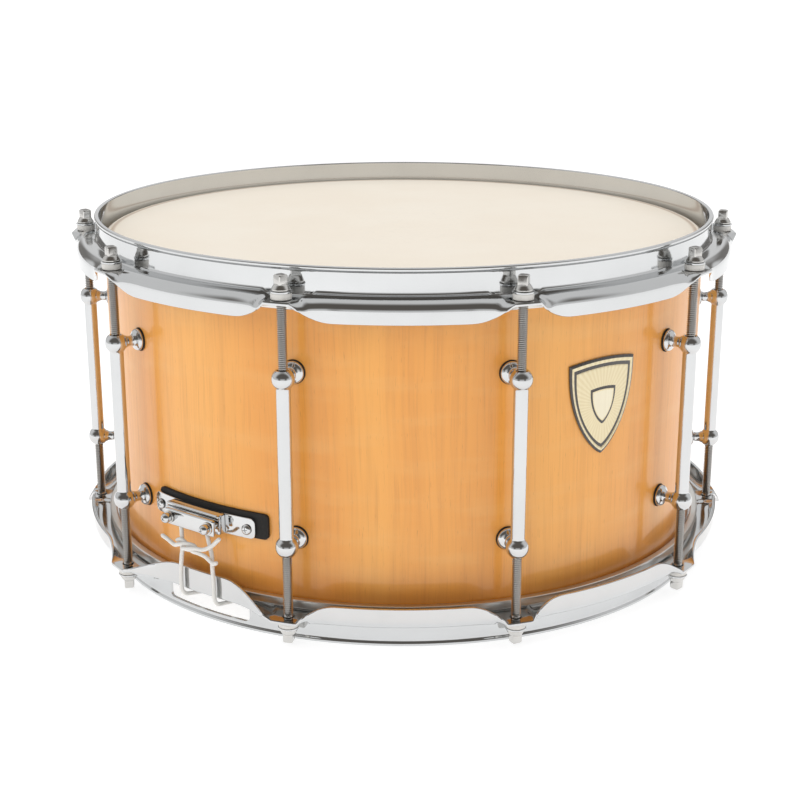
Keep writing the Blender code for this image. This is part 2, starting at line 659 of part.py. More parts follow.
def make_snare_wires():
    """Strands side by side under the snare side head, with a plate across each end."""
    bm = bmesh.new()
    for strand in range(STRAND_COUNT):
        x = (strand - (STRAND_COUNT - 1) / 2) * STRAND_PITCH
        size = Matrix.Diagonal((STRAND_SIZE, 2 * WIRE_HALF_LENGTH - 0.004, STRAND_SIZE, 1))
        bmesh.ops.create_cube(bm, size=1, matrix=Matrix.Translation((x, 0, 0)) @ size)
    wires = add_object("snare_wires", finish_mesh(bm, "snare_wires"), "steel", BUTT_AZIMUTH, 0,
                       WIRE_TOP - STRAND_SIZE / 2)
    half = STRAND_COUNT * STRAND_PITCH / 2 + 0.001
    for number, side in ((1, -1), (2, 1)):
        near, far = sorted((side * (WIRE_HALF_LENGTH - 0.011), side * WIRE_HALF_LENGTH))
        plate = block((-half, near, 0.0003 - PLATE_THICKNESS), (half, far, 0.0003),
                      f"wire_plate_{number}")
        fuse(wires, add_object(f"wire_plate_{number}", plate, "steel", BUTT_AZIMUTH, 0, WIRE_LOW))
    wires.location = outward(BUTT_AZIMUTH) * WIRE_HALF_LENGTH + Vector((0, 0, wires.location.z))
    shift = Matrix.Translation((0, WIRE_HALF_LENGTH, 0))
    wires.data.transform(shift)


def smooth_route(points, spacing):
    """Points at an even spacing on a smooth curve through the route's own points."""
    ends = [points[0] * 2 - points[1]] + points + [points[-1] * 2 - points[-2]]
    fine = []
    for a, b, c, d in zip(ends, ends[1:], ends[2:], ends[3:]):
        for step in range(20):
            t = step / 20
            fine.append(0.5 * (2 * b + (c - a) * t + (2 * a - 5 * b + 4 * c - d) * t * t
                               + (3 * b - a - 3 * c + d) * t ** 3))
    fine.append(points[-1])
    length = sum((q - p).length for p, q in zip(fine, fine[1:]))
    count = max(2, round(length / spacing))
    route, travelled, target = [fine[0]], 0.0, length / count
    for p, q in zip(fine, fine[1:]):
        step = (q - p).length
        while travelled + step >= target and len(route) < count:
            route.append(p.lerp(q, (target - travelled) / step))
            target += length / count
        travelled += step
    return route + [fine[-1]]


# Half of a cord from the middle of its clamp down to the end plate of the wires:
# (across, outward from the drum's axis, height)
CORD_HALF_ROUTE = [(0.0, 0.1864, -0.0436), (0.0048, 0.1864, -0.0440), (0.0080, 0.1864, -0.0462),
                   (0.0092, 0.1864, -0.0500), (0.0099, 0.1869, -0.0545), (0.0107, 0.1876, -0.0600),
                   (0.0113, 0.1881, -0.0660), (0.0118, 0.1883, -0.0720), (0.0121, 0.1884, -0.0780),
                   (0.0121, 0.1884, -0.0825), (0.0120, 0.1878, -0.0862), (0.0119, 0.1857, -0.0887),
                   (0.0117, 0.1822, -0.0898), (0.0115, 0.1785, -0.0906), (0.0113, 0.1750, -0.0914),
                   (0.0111, 0.1715, -0.0919), (0.0110, 0.1660, -0.0921), (0.0110, 0.1609, -0.0921)]
CORD_FREE = -0.0600                # below this height a cord hangs straight over its gate


def shifted(point, across, lift):
    """A point of a cord moved with its clamp, and less so the nearer it is to the gate."""
    hold = min(1.0, max(0.0, (point[2] - CORD_FREE) / (CORD_HALF_ROUTE[3][2] - CORD_FREE)))
    return Vector((point[0] + across * hold, -point[1], point[2] + lift * hold))


def make_cord(name, azimuth, across, lift):
    """A cord from the wires' end plate, round the skirt, through the clamp and back."""
    right = [shifted(p, across, lift) for p in CORD_HALF_ROUTE]
    left = [shifted((-x, r, z), across, lift) for x, r, z in CORD_HALF_ROUTE[:0:-1]]
    curve = bpy.data.curves.new(name, "CURVE")
    curve.dimensions = "3D"
    curve.bevel_depth = CORD_RADIUS
    curve.bevel_resolution = 2
    curve.use_fill_caps = True
    route = smooth_route(left + right, 3 * CORD_RADIUS * 2)
    spline = curve.splines.new("POLY")
    spline.points.add(len(route) - 1)
    for point, place in zip(spline.points, route):
        point.co = (*place, 1.0)
    obj = bpy.data.objects.new(name, curve)
    bpy.context.scene.collection.objects.link(obj)
    obj.location = (0, 0, HALF_HEIGHT)
    obj.rotation_euler = (0, 0, radians(azimuth))
    curve.materials.append(finish_material(name, "cord"))


# ---- badge and vent -----------------------------------------------------------------------
def make_badge():
    outline = shield_outline(0.0225, 0.0235, -0.0270)
    mesh = curved_plate(SHELL_RADIUS + GAP, SHELL_RADIUS + 0.0014, outline, "badge")
    add_object("badge", mesh, "badge_enamel", BADGE_AZIMUTH, 0, BADGE_HEIGHT)


def make_vent_grommet():
    """A flanged eyelet through the shell."""
    outer_face, inner_face = 0.0016, -SHELL_WALL - 0.0010
    tube, bore, flange = 0.0054, 0.0042, 0.0080
    profile = [(bore, outer_face), (flange - 0.001, outer_face), (flange, 0.0005), (tube, 0.0005),
               (tube, inner_face), (bore, inner_face)]
    mesh = ring(profile, "vent_grommet", 16)
    mesh.transform(Matrix.Rotation(radians(90), 4, "X"))
    add_object("vent_grommet", mesh, "chrome", VENT_AZIMUTH, SHELL_RADIUS, 0)


def clear_scene():
    for obj in list(bpy.data.objects):
        bpy.data.objects.remove(obj)


clear_scene()
make_shell()
make_head("batter_head", "coated_film", mirrored=False)
make_head("snare_side_head", "clear_film", mirrored=True)
make_flesh_hoop("batter_flesh_hoop", 1)
make_flesh_hoop("snare_flesh_hoop", -1)
make_hoop("batter_hoop", 1)
cut_gates(make_hoop("snare_hoop", -1))
make_lugs()
make_rods()
make_butt()
make_strainer_base()
make_strainer_carriage()
make_clamp("strainer", STRAINER_AZIMUTH, STRAINER_CLAMP)
make_lever()
make_snare_wires()
make_cord("butt_cord", BUTT_AZIMUTH, -0.0031, 0.0028)
make_cord("strainer_cord", STRAINER_AZIMUTH, 0.0, 0.0)
make_badge()
make_vent_grommet()
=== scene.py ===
"""Looks of a wooden snare drum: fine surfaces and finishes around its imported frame.

Metres, +Z up. Azimuth 0 is the front (-Y) and grows towards +X. A shape is drawn facing -Y and
then placed at its azimuth. Heights are given from the drum's middle plane.
"""

import random
from math import cos, pi, radians, sin, tau

import bpy
import bmesh
from mathutils import Matrix, Vector


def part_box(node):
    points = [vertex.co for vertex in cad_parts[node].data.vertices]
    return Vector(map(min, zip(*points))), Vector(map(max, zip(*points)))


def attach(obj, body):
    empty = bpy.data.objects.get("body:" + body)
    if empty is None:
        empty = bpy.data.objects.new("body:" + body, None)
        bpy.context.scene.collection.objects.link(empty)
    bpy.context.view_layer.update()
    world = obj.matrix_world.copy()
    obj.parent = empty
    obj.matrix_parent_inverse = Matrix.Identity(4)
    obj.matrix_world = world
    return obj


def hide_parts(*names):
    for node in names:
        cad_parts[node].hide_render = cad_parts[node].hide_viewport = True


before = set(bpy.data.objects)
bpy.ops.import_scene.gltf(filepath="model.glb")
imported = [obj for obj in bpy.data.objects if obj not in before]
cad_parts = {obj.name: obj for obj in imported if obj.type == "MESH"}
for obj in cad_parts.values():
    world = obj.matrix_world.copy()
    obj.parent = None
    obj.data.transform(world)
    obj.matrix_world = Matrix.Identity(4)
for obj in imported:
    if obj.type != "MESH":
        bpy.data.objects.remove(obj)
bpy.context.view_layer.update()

# ---- sizes shared with the frame ----------------------------------------------------------
MIDDLE = (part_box("shell")[0].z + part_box("shell")[1].z) / 2
SHELL_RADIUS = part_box("shell")[1].y
HALF_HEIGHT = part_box("batter_hoop")[1].z - MIDDLE
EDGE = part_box("shell")[1].z - MIDDLE
SHELL_WALL = 0.0065
EDGE_INSET = 0.0030
EDGE_DROP = 0.0044

EAR_FACE = 0.0858
PILLOW_FACE = 0.0874
SKIRT_EDGE = 0.0749
HOOP_SHEET = 0.0018
HOOP_WALL_RADIUS = 0.1820
LIP_RADIUS = 0.1829
ROLL_START_RADIUS = 0.1880
SKIRT_RADIUS = 0.1940
EAR_RADIUS = 0.1990
EAR_HALF_ANGLE = 2.0              # degrees
EAR_HOLE_RADIUS = 0.0033
SCREW_HOLE_RADIUS = 0.0018
VENT_HOLE_RADIUS = 0.0063
SKIRT_FULL_ANGLE = 8.5

LUG_COUNT = 10
LUG_PITCH = 360 / LUG_COUNT
ROD_CIRCLE = 0.1920
BALL_HEIGHT = 0.0450
BALL_RADIUS = 0.0060
TUBE_RADIUS = 0.0038
ROD_RADIUS = 0.0026
ROD_HEAD_END = 0.0984
ROD_TIP = 0.0380
ROD_SEAT = EAR_FACE + 0.0003
THREAD_PITCH = 0.0254 / 24

FILM = 0.0004
FILM_GAP = 0.0003
BUTT_AZIMUTH = -36.0
STRAINER_AZIMUTH = 144.0
BADGE_AZIMUTH = 36.0
VENT_AZIMUTH = 180.0
BADGE_HEIGHT = 0.0205
GATE_WIDTH = 0.0585
GATE_LOW, GATE_HIGH = 0.0868, 0.0968
GATE_SKIRT_EDGE, GATE_SKIRT_RADIUS, GATE_ROLL_START = 0.0722, 0.1866, 0.1846
GATE_SKIRT_FULL = 12.5

CORD_RADIUS = 0.0012
CLAMP_BACK = 0.0101
CLAMP_PLATE = 0.0020
STRAINER_CLAMP = (0.0165, 0.0120, -0.0465)   # half width, screw reach, height
BUTT_CLAMP = (0.0180, 0.0142, -0.0437)
PLATE_AZIMUTH = BUTT_AZIMUTH - 1.0           # the butt plate sits a little off its gate
CLAMP_SEAT = 0.0071
BASE_BACK, BASE_FRONT = 0.0021, 0.0036


# ---- node trees ---------------------------------------------------------------------------
class Field:
    """An output socket of a node tree. Arithmetic on it adds Math nodes."""

    def __init__(self, tree, socket):
        self.tree, self.socket = tree, socket

    def math(self, operation, *values, clamp=False):
        settings = {"operation": operation, "use_clamp": clamp}
        return self.tree.node("ShaderNodeMath", settings, dict(enumerate(values)))

    def __add__(self, other):
        return self.math("ADD", self, other)

    __radd__ = __add__

    def __mul__(self, other):
        return self.math("MULTIPLY", self, other)

    __rmul__ = __mul__

    def __sub__(self, other):
        return self.math("SUBTRACT", self, other)

    def __rsub__(self, other):
        return self.math("SUBTRACT", other, self)

    def __truediv__(self, other):
        return self.math("DIVIDE", self, other)

    def __pow__(self, other):
        return self.math("POWER", self, other)

    def __mod__(self, other):
        return self.math("FLOORED_MODULO", self, other)

    def __gt__(self, other):
        return self.math("GREATER_THAN", self, other)

    def __lt__(self, other):
        return self.math("LESS_THAN", self, other)

    def floor(self):
        return self.math("FLOOR", self)

    def root(self):
        return self.math("SQRT", self)

    def cosine(self):
        return self.math("COSINE", self)

    def sine(self):
        return self.math("SINE", self)

    def at_most(self, limit):
        return self.math("MINIMUM", self, limit)

    def size(self):
        return self.math("ABSOLUTE", self)

    def wave(self, turns=1.0):
        """Cosine of so many whole turns of this value."""
        return (self * (tau * turns)).cosine()

    def ramp(self, low, high, start=0.0, end=1.0):
        """This value read between low and high as start to end, with soft ends."""
        settings = {"interpolation_type": "SMOOTHSTEP"}
        return self.tree.node("ShaderNodeMapRange", settings, {
            0: self, 1: low, 2: high, 3: start, 4: end})


class Tree:
    """A node tree that is being built."""

    def __init__(self, node_tree):
        self.nodes, self.links = node_tree.nodes, node_tree.links

    def node(self, kind, settings=None, sockets=None, out=0):
        """Add a node: its settings first, then the values or links of its sockets."""
        made = self.nodes.new(kind)
        for key, value in (settings or {}).items():
            setattr(made, key, value)
        for key, value in (sockets or {}).items():
            if isinstance(value, Field):
                self.links.new(value.socket, made.inputs[key])
            else:
                made.inputs[key].default_value = value
        return Field(self, made.outputs[out])

    def vector(self, x, y, z):
        return self.node("ShaderNodeCombineXYZ", None, {0: x, 1: y, 2: z})

    def parts(self, vector):
        split = self.node("ShaderNodeSeparateXYZ", None, {0: vector})
        return [Field(self, socket) for socket in split.socket.node.outputs]


class Finish(Tree):
    """A material: what is the same all over goes straight onto its shader."""

    def __init__(self, name, constants):
        self.material = bpy.data.materials.new(name)
        self.material.use_nodes = True
        super().__init__(self.material.node_tree)
        self.shader = self.nodes["Principled BSDF"]
        for key, value in constants.items():
            self.shader.inputs[key].default_value = value
        self.place = self.node("ShaderNodeTexCoord", out="Object")

    def feed(self, key, field):
        self.links.new(field.socket, self.shader.inputs[key])

    def bump(self, height, distance, strength=1.0):
        settings = {"Height": height, "Distance": distance, "Strength": strength}
        self.feed("Normal", self.node("ShaderNodeBump", None, settings))

    def noise(self, scale, detail=2.0, rough=0.5, at=None, stretch=None):
        """Noise from 0 to 1, finer along an axis where stretch is larger."""
        at = at or self.place
        if stretch:
            at = self.node("ShaderNodeVectorMath", {"operation": "MULTIPLY"}, {0: at, 1: stretch})
        sockets = {"Vector": at, "Scale": scale, "Detail": detail, "Roughness": rough}
        return self.node("ShaderNodeTexNoise", None, sockets)

    def mix(self, factor, first, second, blend="MIX"):
        settings = {"data_type": "RGBA", "blend_type": blend}
        return self.node("ShaderNodeMix", settings, {0: factor, 6: first, 7: second}, 2)

    def wrapped(self):
        """Object coordinates unrolled round the drum's axis: arc length, radius and height."""
        x, y, z = self.parts(self.place)
        angle = x.math("ARCTAN2", x, 0 - y)
        radius = (x * x + y * y).root()
        return angle * SHELL_RADIUS, radius, z


def colour(red, green, blue):
    return (red, green, blue, 1.0)


def polished(name, tone, rough, tarnish=0.05):
    """Plated metal with faint smudges, fine scratches and a few dull specks."""
    finish = Finish(name, {"Metallic": 1.0, "IOR": 2.5})
    smudge = finish.noise(26, 4, 0.6)
    fine = finish.noise(900, 2, 0.5, stretch=(1.0, 1.0, 0.12))
    speck = finish.noise(420, 3, 0.6).ramp(0.70, 0.78)
    finish.feed("Roughness", smudge.ramp(0.35, 0.75, rough, rough + 0.06) + fine * 0.03
                + speck * 0.10)
    shade = tuple(c * (1 - tarnish) for c in tone[:3]) + (1.0,)
    finish.feed("Base Color", finish.mix(smudge.ramp(0.3, 0.8), tone, shade))
    finish.bump(fine, 0.000004)
    return finish.material


def threaded_steel():
    """Plated rod steel, rougher at the bottom of the thread, where painted shade darkens its
    colour.
    """
    finish = Finish("plated_rod_steel", {"Metallic": 1.0, "IOR": 2.5})
    arc, radius, height = finish.wrapped()
    share = (arc / (radians(LUG_PITCH) * SHELL_RADIUS)) % 1.0
    turned = (share - 0.5) * radians(LUG_PITCH)
    sideways = turned.sine() * radius
    out = turned.cosine() * radius - ROD_CIRCLE
    reach = sideways * sideways + out * out
    # painted shade: root marks the bottom of the thread round each rod, and the colour is darkened
    # there
    root = 1 - reach.ramp(0.0020 ** 2, 0.0025 ** 2)
    smudge = finish.noise(26, 4, 0.6)
    tone = finish.mix(smudge.ramp(0.3, 0.8), colour(0.66, 0.65, 0.63), colour(0.58, 0.57, 0.55))
    finish.feed("Base Color", finish.mix(root * 0.6, tone, colour(0.11, 0.10, 0.095)))
    finish.feed("Roughness", smudge.ramp(0.35, 0.75, 0.16, 0.22) + root * 0.25)
    return finish.material


def lacquered_maple():
    """Clear coated maple: upright grain in veneer bands, with raw plies on the edges and painted
    shade towards the bottom.
    """
    finish = Finish("lacquered_maple", {"Coat Roughness": 0.06, "Coat IOR": 1.5, "IOR": 1.45})
    arc, radius, height = finish.wrapped()
    unrolled = finish.vector(arc, radius, height)
    drift = finish.noise(9, 2, 0.5, unrolled, (1, 1, 0.6))
    bent = finish.vector(arc + (drift - 0.5) * 0.012, radius, height)
    band = finish.noise(22, 1, 0.4, bent, (1, 0.2, 0.03))
    streak = finish.noise(230, 4, 0.62, bent, (1, 0.5, 0.035))
    line = finish.noise(900, 3, 0.6, bent, (1, 0.5, 0.022))
    pore = finish.noise(1700, 2, 0.6, bent, (1, 0.5, 0.07)).ramp(0.66, 0.74)
    curl = finish.noise(60, 3, 0.5, bent, (0.35, 1, 1.5))
    honey = finish.mix(band.ramp(0.32, 0.68), colour(0.96, 0.455, 0.096),
                       colour(0.89, 0.372, 0.066))
    grain = finish.mix(streak.ramp(0.42, 0.72) * 0.34, honey, colour(0.70, 0.29, 0.062))
    grain = finish.mix(line.ramp(0.50, 0.75) * 0.34, grain, colour(0.60, 0.23, 0.050))
    grain = finish.mix(curl.ramp(0.45, 0.75) * 0.18, grain, colour(0.95, 0.57, 0.205))
    grain = finish.mix(pore * 0.35, grain, colour(0.33, 0.125, 0.03))
    # painted shade: towards the bottom, under the snare hoop, the wood is darkened to a deep
    # red-brown
    low = (MIDDLE - height).ramp(0.045, 0.082)
    grain = finish.mix(low * low * 0.5, grain, colour(0.60, 0.19, 0.035))
    ply = (radius * (1 / 0.0011)) % 1.0
    plies = finish.mix(ply.ramp(0.42, 0.58), colour(0.78, 0.53, 0.27), colour(0.60, 0.36, 0.16))
    cut_edge = (height - MIDDLE).size() > EDGE - EDGE_DROP * 0.62
    inside = radius < SHELL_RADIUS - SHELL_WALL + 0.0003
    raw = finish.mix(inside, plies, finish.mix(streak, colour(0.80, 0.58, 0.34),
                                               colour(0.70, 0.46, 0.24)))
    bare = (cut_edge + inside).at_most(1.0)
    finish.feed("Base Color", finish.mix(bare, grain, raw))
    finish.feed("Roughness", streak.ramp(0.3, 0.7, 0.30, 0.38) + bare * 0.30)
    finish.feed("Coat Weight", (1 - bare) * finish.noise(14, 3).ramp(0.2, 0.8, 0.50, 0.65))
    finish.bump(pore * -1.0 + line * 0.3, 0.000012, 0.6)
    return finish.material


def coated_film():
    """Sprayed white coating with a fine tooth, faintly greyed where sticks land."""
    finish = Finish("coated_film", {"IOR": 1.45})
    radius = finish.wrapped()[1]
    tooth = finish.noise(1500, 3, 0.65)
    cloud = finish.noise(11, 4, 0.55)
    base = finish.mix(cloud.ramp(0.3, 0.7), colour(0.90, 0.83, 0.72), colour(0.88, 0.80, 0.685))
    base = finish.mix(tooth.ramp(0.55, 0.75) * 0.25, base, colour(0.88, 0.83, 0.75))
    rim = radius.ramp(0.1712, 0.1733) * (1 - radius.ramp(0.1738, 0.1752))
    base = finish.mix(rim * 0.55, base, colour(0.42, 0.27, 0.17))
    worn = (1 - radius.ramp(0.02, 0.13)) * finish.noise(240, 4, 0.7).ramp(0.52, 0.72)
    finish.feed("Base Color", finish.mix(worn * 0.10, base, colour(0.55, 0.52, 0.48)))
    finish.feed("Roughness", cloud.ramp(0.3, 0.7, 0.62, 0.74) - worn * 0.08)
    finish.bump(tooth, 0.00005, 0.7)
    return finish.material


def clear_film():
    """Thin hazy polyester film."""
    finish = Finish("clear_film", {"IOR": 1.5, "Base Color": colour(0.80, 0.82, 0.82)})
    haze = finish.noise(18, 4, 0.55)
    radius = finish.wrapped()[1]
    collar = radius.ramp(0.170, 0.176)
    finish.feed("Alpha", haze.ramp(0.3, 0.7, 0.29, 0.32) + collar * 0.25)
    finish.feed("Roughness", haze.ramp(0.3, 0.7, 0.17, 0.20))
    return finish.material


def drawn_aluminium():
    """Rolled channel: fine scratches along its length and a soft sheen."""
    finish = Finish("drawn_aluminium", {"Metallic": 1.0})
    arc, radius, height = finish.wrapped()
    unrolled = finish.vector(arc, radius, height)
    scratch = finish.noise(120, 4, 0.7, unrolled, (0.06, 14, 14))
    dull = finish.noise(30, 3)
    finish.feed("Base Color", finish.mix(scratch, colour(0.86, 0.85, 0.82),
                                         colour(0.68, 0.67, 0.64)))
    finish.feed("Roughness", dull.ramp(0.3, 0.7, 0.28, 0.42))
    finish.bump(scratch, 0.00001)
    return finish.material


def moulded(name, tone, rough, speckle):
    """Plain moulded plastic or rubber with a fine matte texture."""
    finish = Finish(name, {"IOR": 1.5})
    skin = finish.noise(speckle, 3, 0.6)
    patch = finish.noise(60, 3)
    darker = tuple(c * 0.82 for c in tone[:3]) + (1.0,)
    finish.feed("Base Color", finish.mix(patch, tone, darker))
    finish.feed("Roughness", skin.ramp(0.3, 0.7, rough - 0.05, rough + 0.08))
    finish.bump(skin, 0.00004)
    return finish.material


def plaited_cord():
    """White plait: the yarns of each strand run slantwise along the piece's own UV map."""
    finish = Finish("plaited_cord", {"IOR": 1.45, "Sheen Weight": 0.25})
    across, along = finish.parts(finish.node("ShaderNodeUVMap", {"uv_map": "lay"}))[:2]
    yarn = (across * 24 + along * 40).wave().ramp(-1, 1) * 0.5 \
        + (across * 24 - along * 40).wave().ramp(-1, 1) * 0.5
    fluff = finish.noise(2500, 3, 0.7)
    tone = finish.mix(yarn, colour(0.84, 0.825, 0.785), colour(0.95, 0.94, 0.91))
    grime = finish.noise(160, 3).ramp(0.45, 0.75) * 0.12
    finish.feed("Base Color", finish.mix(grime, tone, colour(0.66, 0.60, 0.50)))
    finish.feed("Roughness", fluff.ramp(0.3, 0.7, 0.78, 0.92))
    finish.bump(yarn * 0.6 + fluff * 0.4, 0.00006)
    return finish.material


def badge_enamel():
    """Pale gold shield with dark border lines and fine rays."""
    finish = Finish("badge_enamel", {"IOR": 1.5, "Coat Roughness": 0.08})
    reach = finish.parts(finish.node("ShaderNodeUVMap", {"uv_map": "reach"}))[1]
    arc, radius, height = finish.wrapped()
    across = arc - radians(BADGE_AZIMUTH) * SHELL_RADIUS
    up = height - MIDDLE - BADGE_HEIGHT
    angle = up.math("ARCTAN2", up, across)
    rays = (angle / tau).wave(48).ramp(-0.4, 0.4)
    field = finish.mix(rays * 0.5, colour(0.86, 0.76, 0.52), colour(0.74, 0.62, 0.36))
    field = finish.mix(reach < 0.30, field, colour(0.90, 0.84, 0.66))
    dark = ((reach - 0.36).size() < 0.030) + ((reach - 0.84).size() < 0.035)
    dark = dark + (reach > 0.945)
    brushed = finish.noise(700, 3, 0.6, stretch=(1, 1, 0.05))
    field = finish.mix(brushed * 0.3, field, colour(0.60, 0.48, 0.26))
    finish.feed("Base Color", finish.mix(dark, field, colour(0.035, 0.028, 0.024)))
    finish.feed("Metallic", (1 - dark) * 0.55)
    finish.feed("Roughness", 0.30 + brushed * 0.12 - dark * 0.08)
    finish.feed("Coat Weight", 0.35 + dark * 0.4)
    finish.bump(dark * -1.0 + rays * 0.25, 0.00005, 0.6)
    return finish.material


BADGE_HALF_WIDTH, BADGE_TOP, BADGE_TIP = 0.0225, 0.0235, -0.0270
CHROME = polished("chrome_plate", colour(0.66, 0.67, 0.675), 0.045)
ROD_STEEL = threaded_steel()
SPRING_STEEL = polished("spring_steel", colour(0.62, 0.62, 0.61), 0.22, 0.10)
MAPLE = lacquered_maple()
COATED_FILM = coated_film()
CLEAR_FILM = clear_film()
ALUMINIUM = drawn_aluminium()
NYLON = moulded("pale_nylon", colour(0.87, 0.85, 0.81), 0.42, 900)
FOAM = moulded("black_foam", colour(0.022, 0.021, 0.020), 0.82, 1400)
PLAIT = plaited_cord()
ENAMEL = badge_enamel()


# ---- drawing shapes -----------------------------------------------------------------------
HERE = Matrix.Identity(4)


def at(azimuth, radius=0.0, height=0.0, across=0.0):
    """Place of a shape that is drawn about its own origin and faces -Y."""
    turn = Matrix.Rotation(radians(azimuth), 4, "Z")
    return Matrix.Translation((0, 0, MIDDLE)) @ turn @ Matrix.Translation(
        (across, -radius, height))


def soften(corners, steps=3, closed=True):
    """Round the corners of an outline. Each corner is (across, up, radius)."""
    points = []
    for k, (x, y, radius) in enumerate(corners):
        corner = Vector((x, y))
        if not radius or (not closed and k in (0, len(corners) - 1)):
            points.append((x, y))
            continue
        sides = []
        for other in (corners[k - 1], corners[(k + 1) % len(corners)]):
            side = Vector(other[:2]) - corner
            sides.append(corner + side * min(radius / side.length, 0.49))
        for step in range(steps + 1):
            t = step / steps
            points.append(tuple(sides[0].lerp(corner, t).lerp(corner.lerp(sides[1], t), t)))
    return points


def smooth_step(value):
    value = min(max(value, 0.0), 1.0)
    return value * value * (3 - 2 * value)


class Shape:
    """Points and faces of a piece while it is drawn."""

    def __init__(self):
        self.points, self.faces = [], []

    def add(self, points, faces, place=HERE):
        first = len(self.points)
        self.points += [place @ Vector(p) for p in points]
        self.faces += [tuple(first + i for i in face) for face in faces]
        return self

    def rows(self, rows, place=HERE, ring=True, loop=False, caps=True):
        """Skin rows of points. ring closes each row, and loop joins the last to the first."""
        width = len(rows[0])
        faces = []
        for r in range(len(rows) - (0 if loop else 1)):
            s = (r + 1) % len(rows)
            for i in range(width if ring else width - 1):
                j = (i + 1) % width
                faces.append((r * width + i, r * width + j, s * width + j, s * width + i))
        if caps and not loop:
            faces.append(tuple(range(width)))
            faces.append(tuple((len(rows) - 1) * width + i for i in range(width)))
        return self.add([p for row in rows for p in row], faces, place)

    def turn(self, profile, sides=32, place=HERE, about="Z"):
        """Turn an outline of (radius, height) about an axis. It is closed, or ends on the axis.
        Heights run up, outward along -Y, or along +X."""
        rows = []
        for step in range(sides):
            c, s = cos(tau * step / sides), sin(tau * step / sides)
            if about == "Z":
                rows.append([(r * c, r * s, z) for r, z in profile])
            elif about == "Y":
                rows.append([(r * c, -z, r * s) for r, z in profile])
            else:
                rows.append([(z, r * c, r * s) for r, z in profile])
        return self.rows(rows, place, ring=profile[0][0] > 0, loop=True)

    def bar(self, outline, lengths, place=HERE):
        """Push an outline of (x, z) points out along -Y. lengths are (reach, inset) steps."""
        cx = sum(x for x, z in outline) / len(outline)
        cz = sum(z for x, z in outline) / len(outline)
        half = max(abs(x - cx) for x, z in outline)
        tall = max(abs(z - cz) for x, z in outline)
        rows = []
        for reach, inset in lengths:
            kx, kz = 1 - inset / half, 1 - inset / tall
            rows.append([(cx + (x - cx) * kx, -reach, cz + (z - cz) * kz) for x, z in outline])
        return self.rows(rows, place)

    def mesh(self, name, smooth=35):
        """A clean mesh of the shape: poles merged, faces out, round faces smooth."""
        bm = bmesh.new()
        verts = [bm.verts.new(p) for p in self.points]
        for face in self.faces:
            bm.faces.new([verts[i] for i in face])
        bmesh.ops.remove_doubles(bm, verts=bm.verts, dist=1e-7)
        bmesh.ops.recalc_face_normals(bm, faces=bm.faces)
        made = bpy.data.meshes.new(name)
        bm.to_mesh(made)
        bm.free()
        made.shade_smooth()
        made.set_sharp_from_angle(angle=radians(smooth))
        return made


def piece(name, shape, material, body, slot, *nodes, smooth=35):
    """Finish a piece: its mesh, finish, body and the nodes that it stands for. slot is not used.
    """
    mesh = shape.mesh(name, smooth) if isinstance(shape, Shape) else shape
    mesh.name = name
    mesh.materials.clear()
    mesh.materials.append(material)
    obj = bpy.data.objects.new(name, mesh)
    bpy.context.scene.collection.objects.link(obj)
    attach(obj, body)
    if nodes:
        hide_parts(*nodes)
    return obj


def evaluated(mesh, add_modifier):
    """The plain mesh that a modifier makes of a mesh."""
    obj = bpy.data.objects.new("work", mesh)
    bpy.context.scene.collection.objects.link(obj)
    add_modifier(obj)
    graph = bpy.context.evaluated_depsgraph_get()
    result = bpy.data.meshes.new_from_object(obj.evaluated_get(graph), depsgraph=graph)
    bpy.data.objects.remove(obj)
    return result


def cut(mesh, cutter, smooth=35):
    """Cut one mesh out of another."""
    tool = bpy.data.objects.new("cutter", cutter)
    bpy.context.scene.collection.objects.link(tool)

    def boolean(obj):
        modifier = obj.modifiers.new("cut", "BOOLEAN")
        modifier.operation = "DIFFERENCE"
        modifier.object = tool

    result = evaluated(mesh, boolean)
    bpy.data.objects.remove(tool)
    result.shade_smooth()
    result.set_sharp_from_angle(angle=radians(smooth))
    return result


# ---- geometry node trees ------------------------------------------------------------------
class Builder(Tree):
    """A geometry node tree with named inputs. It ends in Realize Instances and Set Material."""

    KINDS = {int: "NodeSocketInt", float: "NodeSocketFloat", "geometry": "NodeSocketGeometry",
             "material": "NodeSocketMaterial"}

    def __init__(self, name, inputs):
        self.group = bpy.data.node_groups.new(name, "GeometryNodeTree")
        face = self.group.interface
        face.new_socket("Geometry", in_out="INPUT", socket_type=self.KINDS["geometry"])
        for key, value in inputs.items():
            made = face.new_socket(key, in_out="INPUT", socket_type=self.KINDS[type(value)])
            made.default_value = value
        face.new_socket("Material", in_out="INPUT", socket_type=self.KINDS["material"])
        face.new_socket("Geometry", in_out="OUTPUT", socket_type=self.KINDS["geometry"])
        super().__init__(self.group)
        start = self.node("NodeGroupInput").socket.node
        self.inputs = {s.name: Field(self, s) for s in start.outputs if s.name}

    def with_own_shape(self, geometry):
        """Join what the tree has made with the mesh that it was given."""
        both = self.node("GeometryNodeJoinGeometry")
        for part in (geometry, self.inputs["Geometry"]):
            self.links.new(part.socket, both.socket.node.inputs[0])
        return both

    def finish(self, geometry):
        real = self.node("GeometryNodeRealizeInstances", None, {0: geometry})
        dressed = self.node("GeometryNodeSetMaterial", None,
                            {"Geometry": real, "Material": self.inputs["Material"]})
        end = self.nodes.new("NodeGroupOutput")
        self.links.new(dressed.socket, end.inputs[0])
        return self

    def grow(self, mesh, material, **values):
        """The plain mesh that this tree makes, with its inputs set by identifier."""
        def nodes(obj):
            modifier = obj.modifiers.new(self.group.name, "NODES")
            modifier.node_group = self.group
            wanted = {key.replace("_", " "): value for key, value in values.items()}
            wanted["Material"] = material
            for socket in self.group.interface.items_tree:
                if socket.in_out == "INPUT" and socket.name in wanted:
                    modifier[socket.identifier] = wanted[socket.name]

        return evaluated(mesh, nodes)


def index_field(tree):
    return tree.node("GeometryNodeInputIndex")


